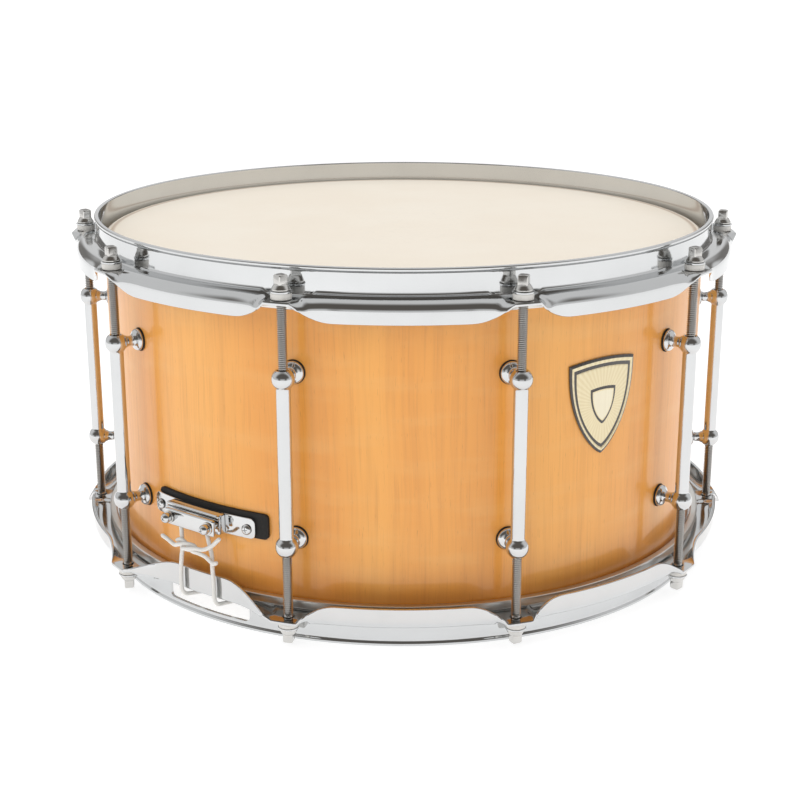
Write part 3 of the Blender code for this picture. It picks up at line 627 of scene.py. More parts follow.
def ring_tree():
    """Stands copies of a shape round the drum's axis, the first at its own azimuth."""
    tree = Builder("stand_round_the_drum", {"Copies": 10, "First Azimuth": 0.0, "Own Turn": 0.0,
                                            "Own Radius": 0.0})
    get = tree.inputs
    aside = tree.vector(0.0, get["Own Radius"] * -1.0, 0.0)
    centred = tree.node("GeometryNodeTransform", None, {
        "Geometry": get["Geometry"], "Translation": tree.vector(0.0, get["Own Radius"], 0.0)})
    spun = tree.node("GeometryNodeTransform", None, {
        "Geometry": centred, "Rotation": tree.vector(0.0, 0.0, get["Own Turn"] * (pi / 180))})
    placed = tree.node("GeometryNodeTransform", None, {"Geometry": spun, "Translation": aside})
    spots = tree.node("GeometryNodeMeshLine", None,
                      {"Count": get["Copies"], "Offset": (0.0, 0.0, 0.0)})
    angle = (get["First Azimuth"] + index_field(tree) * 360 / get["Copies"]) * (pi / 180)
    copies = tree.node("GeometryNodeInstanceOnPoints", None, {
        "Points": spots, "Instance": placed, "Rotation": tree.vector(0.0, 0.0, angle)})
    return tree.finish(copies)


def thread_tree():
    """A screw thread round Z: crest and root rows that climb one pitch in each turn."""
    tree = Builder("screw_thread", {"Sides": 16, "Turns": 30, "Crest Radius": 0.0026,
                                    "Depth": 0.0005, "Pitch": 0.001, "Start": 0.0,
                                    "Out": 0.0})
    get = tree.inputs
    across = get["Sides"] + 1
    grid = tree.node("GeometryNodeMeshGrid", None,
                     {"Vertices X": get["Turns"] * 4, "Vertices Y": across})
    index = index_field(tree)
    row = (index / across).floor()
    turn = (index % across) / get["Sides"]
    step = row % 4
    rise = (row / 4).floor() + step * 0.25 - (step % 2) * 0.13
    radius = get["Crest Radius"] - get["Depth"] * (step > 1.5)
    angle = turn * tau
    point = tree.vector(angle.cosine() * radius,
                        angle.sine() * radius - get["Out"],
                        get["Start"] + (rise + turn) * get["Pitch"])
    placed = tree.node("GeometryNodeSetPosition", None, {"Geometry": grid, "Position": point})
    merged = tree.node("GeometryNodeMergeByDistance", None,
                       {"Geometry": placed, "Distance": 0.000002})
    return tree.finish(tree.with_own_shape(merged))


def strand_tree():
    """Coiled strands side by side, each a fine wire wound along Y."""
    tree = Builder("coiled_strands", {"Strands": 20, "Strand Pitch": 0.0022, "Coils": 100,
                                      "Steps": 8, "Coil Radius": 0.0006, "Wire Radius": 0.0002,
                                      "Half Length": 0.15})
    get = tree.inputs
    count = get["Coils"] * get["Steps"]
    line = tree.node("GeometryNodeMeshLine", None, {"Count": count + 1})
    share = index_field(tree) / count
    angle = share * get["Coils"] * tau
    point = tree.vector(angle.cosine() * get["Coil Radius"],
                        (share * 2 - 1) * get["Half Length"],
                        angle.sine() * get["Coil Radius"])
    wound = tree.node("GeometryNodeSetPosition", None, {"Geometry": line, "Position": point})
    path = tree.node("GeometryNodeMeshToCurve", None, {0: wound})
    wire = tree.node("GeometryNodeCurvePrimitiveCircle", None,
                     {"Resolution": 4, "Radius": get["Wire Radius"]})
    coil = tree.node("GeometryNodeCurveToMesh", None,
                     {"Curve": path, "Profile Curve": wire, "Fill Caps": True})
    spots = tree.node("GeometryNodeMeshLine", None, {
        "Count": get["Strands"], "Offset": tree.vector(get["Strand Pitch"], 0.0, 0.0),
        "Start Location": tree.vector((get["Strands"] - 1) * get["Strand Pitch"] * -0.5,
                                      0.0, 0.0)})
    strands = tree.node("GeometryNodeInstanceOnPoints", None, {"Points": spots, "Instance": coil})
    return tree.finish(tree.with_own_shape(strands))


RING = ring_tree()
THREAD = thread_tree()
STRANDS = strand_tree()


def stood_round(shape, material, copies=1, first=0.0, smooth=35, **own):
    """Copies of a shape, drawn at azimuth 0, round the drum."""
    made = RING.grow(shape.mesh("one", smooth), material, Copies=copies,
                     First_Azimuth=float(first), **own)
    made.set_sharp_from_angle(angle=radians(smooth))
    return made


# ---- shell --------------------------------------------------------------------------------
def edge_curve(spread, lift, steps):
    """Quarter oval over the bearing edge, from its top out to the wall."""
    points = []
    for step in range(steps + 1):
        turn = radians(90) * step / steps
        points.append((SHELL_RADIUS - EDGE_INSET + (EDGE_INSET + spread) * sin(turn),
                       EDGE - EDGE_DROP + (EDGE_DROP + lift) * cos(turn)))
    return points


def make_shell():
    inner = SHELL_RADIUS - SHELL_WALL
    half = [(inner, EDGE - 0.0037), (inner + 0.0007, EDGE - 0.0029)] + edge_curve(0, 0, 8)
    levels = [EDGE * 0.7, EDGE * 0.35, 0]
    profile = half + [(SHELL_RADIUS, z) for z in levels]
    profile += [(SHELL_RADIUS, -z) for z in levels[1::-1]] + [(r, -z) for r, z in half[::-1]]
    profile += [(inner, -EDGE * 0.4), (inner, EDGE * 0.4)]
    wall = Shape().turn(profile, 256, at(0)).mesh("wall")
    drill = Shape().turn(drilled(VENT_HOLE_RADIUS, 0.010), 40, at(VENT_AZIMUTH, SHELL_RADIUS),
                         "Y").mesh("drill")
    piece("shell_wall", cut(wall, drill), MAPLE, "drum", "maple", "shell")

    eyelet = soften([(0.0042, 0.0016, 0.0005), (0.0066, 0.0016, 0.0006), (0.0080, 0.0008, 0.0004),
                     (0.0080, 0.0004, 0), (0.0054, 0.0004, 0), (0.0054, -SHELL_WALL - 0.0004, 0),
                     (0.0066, -SHELL_WALL - 0.0006, 0.0003),
                     (0.0050, -SHELL_WALL - 0.0012, 0.0004),
                     (0.0042, -SHELL_WALL - 0.0008, 0.0002)])
    grommet = Shape().turn(eyelet, 56, at(VENT_AZIMUTH, SHELL_RADIUS), "Y")
    piece("vent_eyelet", grommet, CHROME, "drum", "chrome", "vent_grommet")


def make_head(name, node, band_name, band_node, side, film):
    """Film over the bearing edge with its collar, and the band that holds its edge."""
    collar_end = EDGE - 0.0078
    under = edge_curve(FILM_GAP, FILM_GAP, 7)
    over = edge_curve(FILM_GAP + FILM, FILM_GAP + FILM, 7)
    flat = [0.150, 0.110, 0.060, 0.020]
    profile = [(0, under[0][1])] + [(r, under[0][1]) for r in flat[::-1]] + under
    profile += [(under[-1][0], collar_end), (over[-1][0], collar_end)] + over[::-1]
    profile += [(r, over[0][1]) for r in flat] + [(0, over[0][1])]
    skin = Shape().turn([(r, side * z) for r, z in profile], 224, at(0))
    slot = "coated_film" if side > 0 else "clear_film"
    piece(name, skin, film, "drum", slot, node)
    low, high = 0.0784, 0.0834
    channel = soften([(0.17895, high - 0.0006, 0.0004), (0.1796, high, 0.0005),
                      (0.1826, high, 0.0006), (0.1832, high - 0.0007, 0.0005),
                      (0.1832, low + 0.0004, 0.0004), (0.1828, low, 0.0003),
                      (0.1795, low, 0.0003), (0.17895, low + 0.0005, 0.0003)], 3)
    band = Shape().turn([(r, side * z) for r, z in channel], 224, at(0))
    piece(band_name, band, ALUMINIUM, "drum", "flesh_aluminium", band_node)


# ---- hoops --------------------------------------------------------------------------------
STATIONS = (0, 1.0, 1.6, 2.0, 2.2, 2.4, 2.6, 2.8, 3.0, 3.2, 3.4, 3.6, 3.8, 4.1, 4.5, 5.0, 5.5,
            6.0, 6.5, 7.0, 7.5, 8.0, 8.5, 9.2, 10, 11.2, 12.6, 14.2, 16)   # degrees from a rod


def ear_drop(away, radius):
    """How far the shelf lies below the pillow's top: all the way on an ear, past a round nose."""
    nose = 2.25 + 1.5 * min(1.0, abs(radius - 0.1890) / 0.0060) ** 2
    return (PILLOW_FACE - EAR_FACE) * (1 - smooth_step((away - nose) / 0.85))


def hoop_section(away, gated):
    """Closed outline of the hoop's sheet at an angle from the nearest rod."""
    if gated:
        reach = min(max((away - EAR_HALF_ANGLE) / (GATE_SKIRT_FULL - EAR_HALF_ANGLE), 0), 1)
        rise = (1 - reach) ** 1.6
        full_edge, full_radius, full_start = GATE_SKIRT_EDGE, GATE_SKIRT_RADIUS, GATE_ROLL_START
    else:
        reach = min(max((away - EAR_HALF_ANGLE) / (SKIRT_FULL_ANGLE - EAR_HALF_ANGLE), 0), 1)
        rise = (1 - reach) ** 2.6
        full_edge, full_radius, full_start = SKIRT_EDGE, SKIRT_RADIUS, ROLL_START_RADIUS
    flare = min(1, rise * 1.25) if gated else rise
    edge_radius = full_radius + flare * (EAR_RADIUS - full_radius)
    edge = full_edge + rise * (EAR_FACE - full_edge)
    start = full_start + rise * (ROLL_START_RADIUS - full_start)
    roll = full_radius - full_start + rise * (SKIRT_RADIUS - ROLL_START_RADIUS
                                              - full_radius + full_start)
    wall = HOOP_WALL_RADIUS
    shelf_width = start - wall

    def face_drop(radius):
        lowered = ear_drop(away, radius)
        if gated:
            lowered = max(lowered, (PILLOW_FACE - EAR_FACE) * smooth_step((away - 3) / 5))
        return lowered

    def fold(radius, top, drop_limit, low, steps=9):
        drop = max(min(drop_limit, top - low), 0.0)
        curve = [(start + (radius - start) * sin(radians(90) * k / steps),
                  top - drop * (1 - cos(radians(90) * k / steps))) for k in range(steps + 1)]
        straight = [(radius, top - drop + (low + 0.00045 - top + drop) * k / 3)
                    if low + 0.00045 < top - drop else (radius, top - drop) for k in (1, 2, 3)]
        return curve + straight

    def lowered(points, low, top):
        return [(r, z - face_drop(r) * (z - low) / (top - low)) for r, z in points]

    shelf = ((start - shelf_width * 0.5, PILLOW_FACE), (start - shelf_width * 0.25, PILLOW_FACE))
    outer = lowered(list(shelf) + fold(edge_radius, PILLOW_FACE, roll, edge), edge, PILLOW_FACE)
    under = PILLOW_FACE - HOOP_SHEET
    inner_radius = edge_radius - HOOP_SHEET * (1 - rise)
    inner_edge = edge - HOOP_SHEET * rise
    inner = lowered([(r, z - HOOP_SHEET) for r, z in shelf]
                    + fold(inner_radius, under, max(roll - HOOP_SHEET, 0.0003), inner_edge),
                    inner_edge, under)
    foot = PILLOW_FACE - face_drop(0.1830)
    rim = soften([(wall - HOOP_SHEET, HALF_HEIGHT, 0.0007), (LIP_RADIUS, HALF_HEIGHT, 0.0009),
                  (LIP_RADIUS, HALF_HEIGHT - 0.0016, 0.0005),
                  (wall, HALF_HEIGHT - 0.0027, 0.0007),
                  (wall, foot, min(0.0016, shelf_width * 0.38)),
                  (wall + shelf_width * 0.4, foot, 0), (wall, foot - HOOP_SHEET, 0)], 4)[:-1]
    tip = [((outer[-1][0] * 3 + inner[-1][0]) / 4, (outer[-1][1] * 3 + inner[-1][1]) / 4),
           ((outer[-1][0] + inner[-1][0] * 3) / 4, (outer[-1][1] + inner[-1][1] * 3) / 4)]
    bow = 0.0003
    tip = [(r + bow * rise, z - bow * (1 - rise)) for r, z in tip]
    return rim + outer + tip + inner[::-1] + [(wall - 0.0006, foot - HOOP_SHEET),
                                              (wall - HOOP_SHEET, foot - HOOP_SHEET + 0.0004)]


def over_gate(angle):
    """Whether an azimuth in degrees lies between the two rods beside a gate."""
    return any(abs((angle - gate + 180) % 360 - 180) < LUG_PITCH / 2 - 0.01
               for gate in (BUTT_AZIMUTH, STRAINER_AZIMUTH))


def make_hoop(name, node, side):
    rows = []
    stations = [-a for a in STATIONS[:0:-1]] + list(STATIONS) + [LUG_PITCH / 2]
    for lug in range(LUG_COUNT):
        for offset in stations:
            azimuth = (lug + 0.5) * LUG_PITCH + offset
            angle = radians(azimuth)
            rows.append([(r * sin(angle), -r * cos(angle), side * z)
                         for r, z in hoop_section(abs(offset), side < 0 and over_gate(azimuth))])
    hoop = Shape().rows(rows, at(0), loop=True).mesh(name, 40)
    cutter = Shape()
    for lug in range(LUG_COUNT):
        cutter.turn(drilled(EAR_HOLE_RADIUS), 28,
                    at((lug + 0.5) * LUG_PITCH, ROD_CIRCLE, side * EAR_FACE))
    if side < 0:
        half, low, high = GATE_WIDTH / 2, -GATE_HIGH, -GATE_LOW
        outline = rounded_box(half, low, high, 0.003)
        for azimuth in (BUTT_AZIMUTH, STRAINER_AZIMUTH):
            cutter.bar(outline, [(-0.010, 0), (0.006, 0)], at(azimuth, HOOP_WALL_RADIUS))
    body = "batter_hoop" if side > 0 else "snare_hoop"
    piece(name, cut(hoop, cutter.mesh("cutter"), 40), CHROME, body, "chrome", node)


# ---- lugs and rods ------------------------------------------------------------------------
def lug_shape():
    """A tube with a ball at each end, on two waisted posts with round feet."""
    flat = 0.0046
    upper = [(0, 0.034), (0.00295, 0.034), (0.00295, BALL_HEIGHT + flat - 0.0003),
             (0.0032, BALL_HEIGHT + flat)]
    for angle in (50, 40, 30, 20, 10, 0, -10, -20, -30, -40, -48):
        upper.append((BALL_RADIUS * cos(radians(angle)),
                      BALL_HEIGHT + BALL_RADIUS * sin(radians(angle))))
    upper += [(TUBE_RADIUS, BALL_HEIGHT - 0.0050), (TUBE_RADIUS, BALL_HEIGHT - 0.0056)]
    profile = upper + [(TUBE_RADIUS, 0.015)] + [(r, -z) for r, z in [(TUBE_RADIUS, 0.015)]
                                                + upper[::-1]]
    shape = Shape().turn(profile, 40, at(0, ROD_CIRCLE))
    back = -(ROD_CIRCLE - SHELL_RADIUS - 0.0006)
    post = soften([(0, back, 0), (0.0059, back, 0.0002), (0.0062, back + 0.0011, 0.0006),
                   (0.0054, back + 0.0026, 0.0012), (0.0034, back + 0.0034, 0.0009),
                   (0.0028, back + 0.0046, 0.0010), (0.0028, -0.0068, 0.0010),
                   (0.0037, -0.0050, 0.0008), (0.0040, -0.0042, 0), (0, -0.0040, 0)], 4, False)
    for side in (-1, 1):
        shape.turn(post, 36, at(0, ROD_CIRCLE, side * BALL_HEIGHT), "Y")
    return shape


def make_lugs():
    first = LUG_PITCH / 2
    lugs = [f"lug_{n:02d}" for n in range(1, LUG_COUNT + 1)]
    piece("tube_lugs", stood_round(lug_shape(), CHROME, LUG_COUNT, first), CHROME, "drum",
          "chrome", *lugs)
    gaskets, screws = Shape(), Shape()
    inner = SHELL_RADIUS - SHELL_WALL
    for side in (-1, 1):
        gaskets.turn(soften([(0.0020, 0.0002, 0), (0.0065, 0.0002, 0.0001),
                             (0.0065, 0.0007, 0.0002), (0.0020, 0.0007, 0)]), 32,
                     at(0, SHELL_RADIUS - 0.0001, side * BALL_HEIGHT), "Y")
        place = at(0, inner, side * BALL_HEIGHT)
        screws.turn(soften([(0.0022, 0.0002, 0), (0.0022, -0.0012, 0), (0.0064, -0.0012, 0.0003),
                            (0.0064, 0.0002, 0)]), 32, place, "Y")
        head = soften([(0, -0.0044, 0), (0.0022, -0.0042, 0.0008), (0.0040, -0.0032, 0.0008),
                       (0.0042, -0.0012, 0), (0, -0.0012, 0)], 4, False)
        screws.turn(head, 32, place, "Y")
    piece("lug_gaskets", stood_round(gaskets, FOAM, LUG_COUNT, first), FOAM, "drum", "foam")
    piece("lug_screws", stood_round(screws, ROD_STEEL, LUG_COUNT, first), ROD_STEEL, "drum",
          "rod_steel")


def rod_shape():
    """Tip, core, plain shank, shoulder and chamfered square head, about the rod's own axis."""
    shape = Shape()
    place = at(0, ROD_CIRCLE)
    shape.turn([(0, ROD_TIP), (0.0017, ROD_TIP), (0.0022, ROD_TIP + 0.0008), (0.0022, 0.0462),
                (0.0018, 0.0466), (0.0018, 0.0836), (0, 0.0836)], 20, place)
    top = ROD_SEAT + 0.0042
    shank = soften([(0, 0.0826, 0), (0.0021, 0.0826, 0), (0.0026, 0.0832, 0.0002),
                    (0.0026, top, 0), (0.0047, top, 0.0001), (0.0049, top + 0.0008, 0.0004),
                    (0.0036, top + 0.0030, 0.0005), (0.0030, top + 0.0034, 0),
                    (0, top + 0.0034, 0)], 3, False)
    shape.turn(shank, 36, place)
    rows = []
    for height, half in ((top + 0.0030, 0.0025), (top + 0.0031, 0.0027),
                         (ROD_HEAD_END - 0.0009, 0.0027), (ROD_HEAD_END - 0.0003, 0.0024),
                         (ROD_HEAD_END, 0.0017)):
        rows.append([(x, y, height)
                     for x, y in rounded_box(half, -half, half, 0.0007, steps=3)])
    return shape.rows(rows, place)


def washer_shapes():
    nylon = Shape().turn(soften([(0.0028, ROD_SEAT, 0), (0.0053, ROD_SEAT, 0.0003),
                                 (0.0053, ROD_SEAT + 0.0031, 0.0004),
                                 (0.0028, ROD_SEAT + 0.0031, 0)]), 40, at(0, ROD_CIRCLE))
    steel = Shape().turn(soften([(0.0028, ROD_SEAT + 0.0032, 0),
                                 (0.0056, ROD_SEAT + 0.0032, 0.0002),
                                 (0.0057, ROD_SEAT + 0.0041, 0.0003),
                                 (0.0028, ROD_SEAT + 0.0041, 0)]), 40, at(0, ROD_CIRCLE))
    return nylon, steel


def turned_over(mesh):
    """The same mesh turned over about the drum's front to back line, which keeps its thread."""
    mesh.transform(Matrix.Translation((0, 0, 2 * MIDDLE)) @ Matrix.Rotation(pi, 4, "Y"))
    return mesh


def make_rods():
    turns = random.Random(5)
    thread = THREAD.grow(rod_shape().mesh("rod"), ROD_STEEL, Turns=35, Crest_Radius=ROD_RADIUS,
                         Depth=0.0007, Pitch=THREAD_PITCH, Start=MIDDLE + 0.0455, Out=ROD_CIRCLE)
    bm = bmesh.new()
    bm.from_mesh(thread)
    bmesh.ops.holes_fill(bm, edges=[e for e in bm.edges if e.is_boundary])
    bm.to_mesh(thread)
    bm.free()
    nylon, steel = [shape.mesh("washer") for shape in washer_shapes()]
    for side in ("batter", "snare"):
        for number in range(1, LUG_COUNT + 1):
            name = f"{side}_rod_{number:02d}"
            azimuth = (number - 0.5) * LUG_PITCH
            own = turns.uniform(0, 90)
            parts = (("steel", thread, ROD_STEEL, "rod_steel"),
                     ("flat_washer", steel, CHROME, "chrome"),
                     ("nylon_washer", nylon, NYLON, "rod_steel"))
            for part, mesh, material, slot in parts:
                first = azimuth if side == "batter" else -azimuth
                made = RING.grow(mesh, material, Copies=1, First_Azimuth=first, Own_Turn=own,
                                 Own_Radius=ROD_CIRCLE)
                if side == "snare":
                    turned_over(made)
                made.set_sharp_from_angle(angle=radians(30))
                nodes = (name,) if part == "steel" else ()
                piece(f"{name}_{part}", made, material, name, slot, *nodes)


# ---- plates on the shell ------------------------------------------------------------------
def shell_plate(shape, azimuth, outline, inner, outer, edge=0.0003):
    """Lay a rounded outline of (across, height) on the shell, between two radii."""
    low_x, high_x = min(p[0] for p in outline), max(p[0] for p in outline)
    steps = 36
    rows = []
    count = len(outline)

    def span(x):
        heights = []
        for k in range(count):
            (x1, z1), (x2, z2) = outline[k], outline[(k + 1) % count]
            if min(x1, x2) - 1e-9 <= x <= max(x1, x2) + 1e-9 and x1 != x2:
                heights.append(z1 + (z2 - z1) * (x - x1) / (x2 - x1))
        return min(heights), max(heights)

    for step in range(steps + 1):
        x = (low_x + high_x) / 2 + (high_x - low_x) / 2 * sin(pi * (step / steps - 0.5))
        low, high = span(x)
        section = soften([(inner, low, 0), (outer, low, edge), (outer, high, edge),
                          (inner, high, 0)], 2)
        angle = x / outer
        rows.append([(r * sin(angle), -r * cos(angle), z) for r, z in section])
    return shape.rows(rows, at(azimuth))


def drilled(radius, reach=0.006):
    """Profile of a drill that goes as far to each side of a surface."""
    return [(0, -reach), (radius, -reach), (radius, reach), (0, reach)]


def rounded_box(half_width, low, high, radius, across=0.0, steps=5):
    """Outline of a rounded rectangle, as (across, height) points."""
    return soften([(across - half_width, low, radius), (across + half_width, low, radius),
                   (across + half_width, high, radius), (across - half_width, high, radius)],
                  steps)


def screw_mesh(profile, recess, depth, face, place, spin=0.0, sides=36):
    """A turned screw head with a cross recess, along -Y."""
    place = place @ Matrix.Rotation(radians(spin), 4, "Y")
    head = Shape().turn(profile, sides, place, "Y").mesh("head")
    tool = place @ Matrix.Translation((0, -face, 0))
    thin = recess * 0.19
    for wide, tall in ((recess, thin), (thin, recess)):
        blade = Shape().bar([(-wide, -tall), (wide, -tall), (wide, tall), (-wide, tall)],
                            [(-depth, recess * 0.1), (0.003, 0)], tool)
        head = cut(head, blade.mesh("blade"))
    return head


def make_fixing_screw(name, azimuth, height, spin):
    profile = soften([(0, -0.0028, 0), (0.0014, -0.0028, 0), (0.0014, 0.0003, 0),
                      (0.0029, 0.0003, 0.0001), (0.0029, 0.0009, 0.0004),
                      (0.0019, 0.0019, 0.0009), (0, 0.0020, 0)], 4, False)
    mesh = screw_mesh(profile, 0.0016, 0.0010, 0.0020,
                      at(azimuth, SHELL_RADIUS + BASE_FRONT, height), spin)
    piece(name + "_cross_head", mesh, CHROME, "drum", "chrome", name)


def make_clamp(prefix, azimuth, sizes):
    """Clamp plate, and its two domed screws on washers."""
    half_width, reach, clamp_height = sizes
    front = SHELL_RADIUS + CLAMP_BACK + CLAMP_PLATE
    outline = rounded_box(half_width, -0.0045, 0.0045, 0.0012)
    steps = [(-CLAMP_PLATE, 0.0004), (-CLAMP_PLATE + 0.0003, 0), (-0.0005, 0), (-0.0002, 0.0002),
             (0, 0.0005)]
    plate = Shape().bar(outline, steps, at(azimuth, front, clamp_height)).mesh("plate")
    drills = Shape()
    for x in (-reach, reach):
        drills.turn(drilled(SCREW_HOLE_RADIUS), 24,
                    at(azimuth, front, clamp_height, x), "Y")
    piece(f"{prefix}_clamp_bar", cut(plate, drills.mesh("drills")), CHROME, f"{prefix}_clamp",
          "chrome", f"{prefix}_clamp_plate")
    for number, x in ((1, -reach), (2, reach)):
        place = at(azimuth, front, clamp_height, x)
        profile = soften([(0, -0.0074, 0), (0.0014, -0.0074, 0.0003), (0.0014, 0.0013, 0),
                          (0.0026, 0.0013, 0), (0.0028, 0.0016, 0.0002), (0.0028, 0.0036, 0.0007),
                          (0.0018, 0.0051, 0.0010), (0, 0.0054, 0)], 4, False)
        head = screw_mesh(profile, 0.0015, 0.0012, 0.0054, place, 35 * number)
        name = f"{prefix}_clamp_screw_{number}"
        piece(name + "_domed", head, CHROME, name, "chrome", name)
        ring = soften([(0.0015, 0.0003, 0), (0.0034, 0.0003, 0.0001), (0.0034, 0.0012, 0.0003),
                       (0.0015, 0.0012, 0)], 3)
        piece(name + "_washer", Shape().turn(ring, 36, place, "Y"), ROD_STEEL, name, "rod_steel")


BUTT_HALF_WIDTH = 0.0370
BUTT_LOW, BUTT_HIGH = -0.0487, -0.0372
BUTT_SCREW_AZIMUTH = 10.1            # a fixing screw, in degrees from the plate's middle
SEAT_ACROSS, SEAT_HALF_WIDTH = -0.0010, 0.0190


def make_butt():
    low, high = BUTT_LOW, BUTT_HIGH
    foam = rounded_box(BUTT_HALF_WIDTH + 0.0023, low, high + 0.0027, 0.0030)
    piece("butt_foam", shell_plate(Shape(), BUTT_AZIMUTH + 0.4, foam, SHELL_RADIUS + 0.0002,
                                   SHELL_RADIUS + BASE_BACK - 0.0002, 0.0003),
          FOAM, "drum", "foam", "butt_gasket")
    base = shell_plate(Shape(), PLATE_AZIMUTH,
                       rounded_box(BUTT_HALF_WIDTH, low, high, 0.0035),
                       SHELL_RADIUS + BASE_BACK, SHELL_RADIUS + BASE_FRONT, 0.0005)
    middle, half_seat = SEAT_ACROSS, SEAT_HALF_WIDTH
    seat = rounded_box(half_seat, low, high, 0.0012, middle)
    base.bar(seat, [(BASE_BACK + 0.0009, 0), (CLAMP_SEAT - 0.0006, 0),
                    (CLAMP_SEAT - 0.0002, 0.0002), (CLAMP_SEAT, 0.0007)],
             at(PLATE_AZIMUTH, SHELL_RADIUS))
    for height, half in ((high - 0.0009, 0.0009), (high - 0.0027, 0.0005)):
        rib = rounded_box(half_seat, height - half, height + half, half, middle, 3)
        base.bar(rib, [(CLAMP_SEAT - 0.0005, 0), (CLAMP_SEAT + 0.0010, 0),
                       (CLAMP_SEAT + 0.0014, half * 0.4), (CLAMP_SEAT + 0.0015, half * 0.8)],
                 at(PLATE_AZIMUTH, SHELL_RADIUS))
    piece("butt_plate", base, CHROME, "drum", "chrome", "butt_base")
    for number, side, spin in ((1, -1, 20), (2, 1, -12)):
        make_fixing_screw(f"butt_mount_screw_{number}", PLATE_AZIMUTH + side * BUTT_SCREW_AZIMUTH,
                          BUTT_CLAMP[2], spin)
    make_clamp("butt", PLATE_AZIMUTH, BUTT_CLAMP)


# ---- strainer -----------------------------------------------------------------------------
def eased(node, width=0.0005, segments=2, angle=25):
    """A copy of a node's shape with flat faces made whole and its edges rounded."""
    bm = bmesh.new()
    bm.from_mesh(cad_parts[node].data)
    bmesh.ops.remove_doubles(bm, verts=bm.verts, dist=2e-6)
    bmesh.ops.dissolve_limit(bm, angle_limit=radians(1.5), verts=bm.verts, edges=bm.edges)
    sharp = [e for e in bm.edges if e.is_manifold and e.calc_face_angle() > radians(angle)]
    bmesh.ops.bevel(bm, geom=sharp, offset=width, segments=segments, affect="EDGES",
                    profile=0.6, clamp_overlap=True)
    bmesh.ops.recalc_face_normals(bm, faces=bm.faces)
    mesh = bpy.data.meshes.new(node)
    bm.to_mesh(mesh)
    bm.free()
    mesh.shade_smooth()
    mesh.set_sharp_from_angle(angle=radians(32))
    return mesh


RAIL_INNER, RAIL_OUTER = 0.0175, 0.0205
PIVOT_HEIGHT, PIVOT_REACH = 0.0120, 0.0095
KNOB_REACH, CARRIAGE_TOP = 0.0096, -0.0240


def make_strainer():
    foam = rounded_box(0.0240, -0.0560, 0.0240, 0.0040)
    piece("strainer_foam", shell_plate(Shape(), STRAINER_AZIMUTH, foam, SHELL_RADIUS + 0.0002,
                                       SHELL_RADIUS + BASE_BACK - 0.0002),
          FOAM, "drum", "foam", "strainer_gasket")
    base = shell_plate(Shape(), STRAINER_AZIMUTH, rounded_box(0.0230, -0.0550, 0.0230, 0.0035),
                       SHELL_RADIUS + BASE_BACK, SHELL_RADIUS + BASE_FRONT, 0.0005)
    for side in (-1, 1):
        rail = soften([(-0.0130, 0.0170, 0.0045), (-0.0130, -0.0530, 0.0045),
                       (-BASE_BACK - 0.0001, -0.0530, 0), (-BASE_BACK - 0.0001, 0.0170, 0)], 6)
        rows = [[(side * x, y, z) for y, z in rail] for x in (RAIL_INNER, RAIL_OUTER)]
        base.rows(rows, at(STRAINER_AZIMUTH, SHELL_RADIUS))
    piece("strainer_frame", base, CHROME, "drum", "chrome", "strainer_base")
    make_fixing_screw("strainer_mount_screw_1", STRAINER_AZIMUTH, -0.0080, 8)
    make_fixing_screw("strainer_mount_screw_2", STRAINER_AZIMUTH, 0.0195, 31)
    pin = soften([(0, -0.0215, 0), (0.0019, -0.0215, 0.0005), (0.0019, 0.0215, 0.0005),
                  (0, 0.0215, 0)], 3, False)
    piece("lever_pivot", Shape().turn(pin, 32, at(STRAINER_AZIMUTH, SHELL_RADIUS + PIVOT_REACH,
                                                  PIVOT_HEIGHT), "X"),
          ROD_STEEL, "drum", "steel", "lever_pin")
    piece("strainer_slide", eased("strainer_carriage", 0.0004), CHROME, "strainer_carriage",
          "chrome", "strainer_carriage")
    piece("throw_off_handle", eased("throw_off_lever", 0.0005, 3), CHROME, "throw_off_lever",
          "chrome", "throw_off_lever")
    knob = Shape()
    place = at(STRAINER_AZIMUTH, SHELL_RADIUS + KNOB_REACH, CARRIAGE_TOP)
    knob.turn(soften([(0, -0.0038, 0), (0.0018, -0.0038, 0.0004), (0.0018, 0.0008, 0),
                      (0.0046, 0.0008, 0.0004), (0.0049, 0.0018, 0.0003), (0.0049, 0.0084, 0.0003),
                      (0.0044, 0.0096, 0.0006), (0, 0.0098, 0)], 3, False), 48, place)
    knurl = soften([(-0.00022, -0.0001, 0), (0.00022, -0.0001, 0), (0, 0.0003, 0)], 1)
    for tooth in range(30):
        turn = place @ Matrix.Rotation(tau * tooth / 30, 4, "Z")
        rows = [[(x, -0.00485 - y, z) for x, y in knurl] for z in (0.0018, 0.0084)]
        knob.rows(rows, turn)
    piece("tension_knob_knurled", knob, CHROME, "tension_knob", "chrome", "tension_knob")
    make_clamp("strainer", STRAINER_AZIMUTH, STRAINER_CLAMP)


# ---- snare wires and cords ----------------------------------------------------------------
STRAND_SIZE, STRAND_PITCH, WIRE_HALF_LENGTH = 0.0016, 0.0022, 0.1590
WIRE_TOP = -(EDGE + FILM_GAP + FILM) - 0.0004
WIRE_LOW = WIRE_TOP - STRAND_SIZE


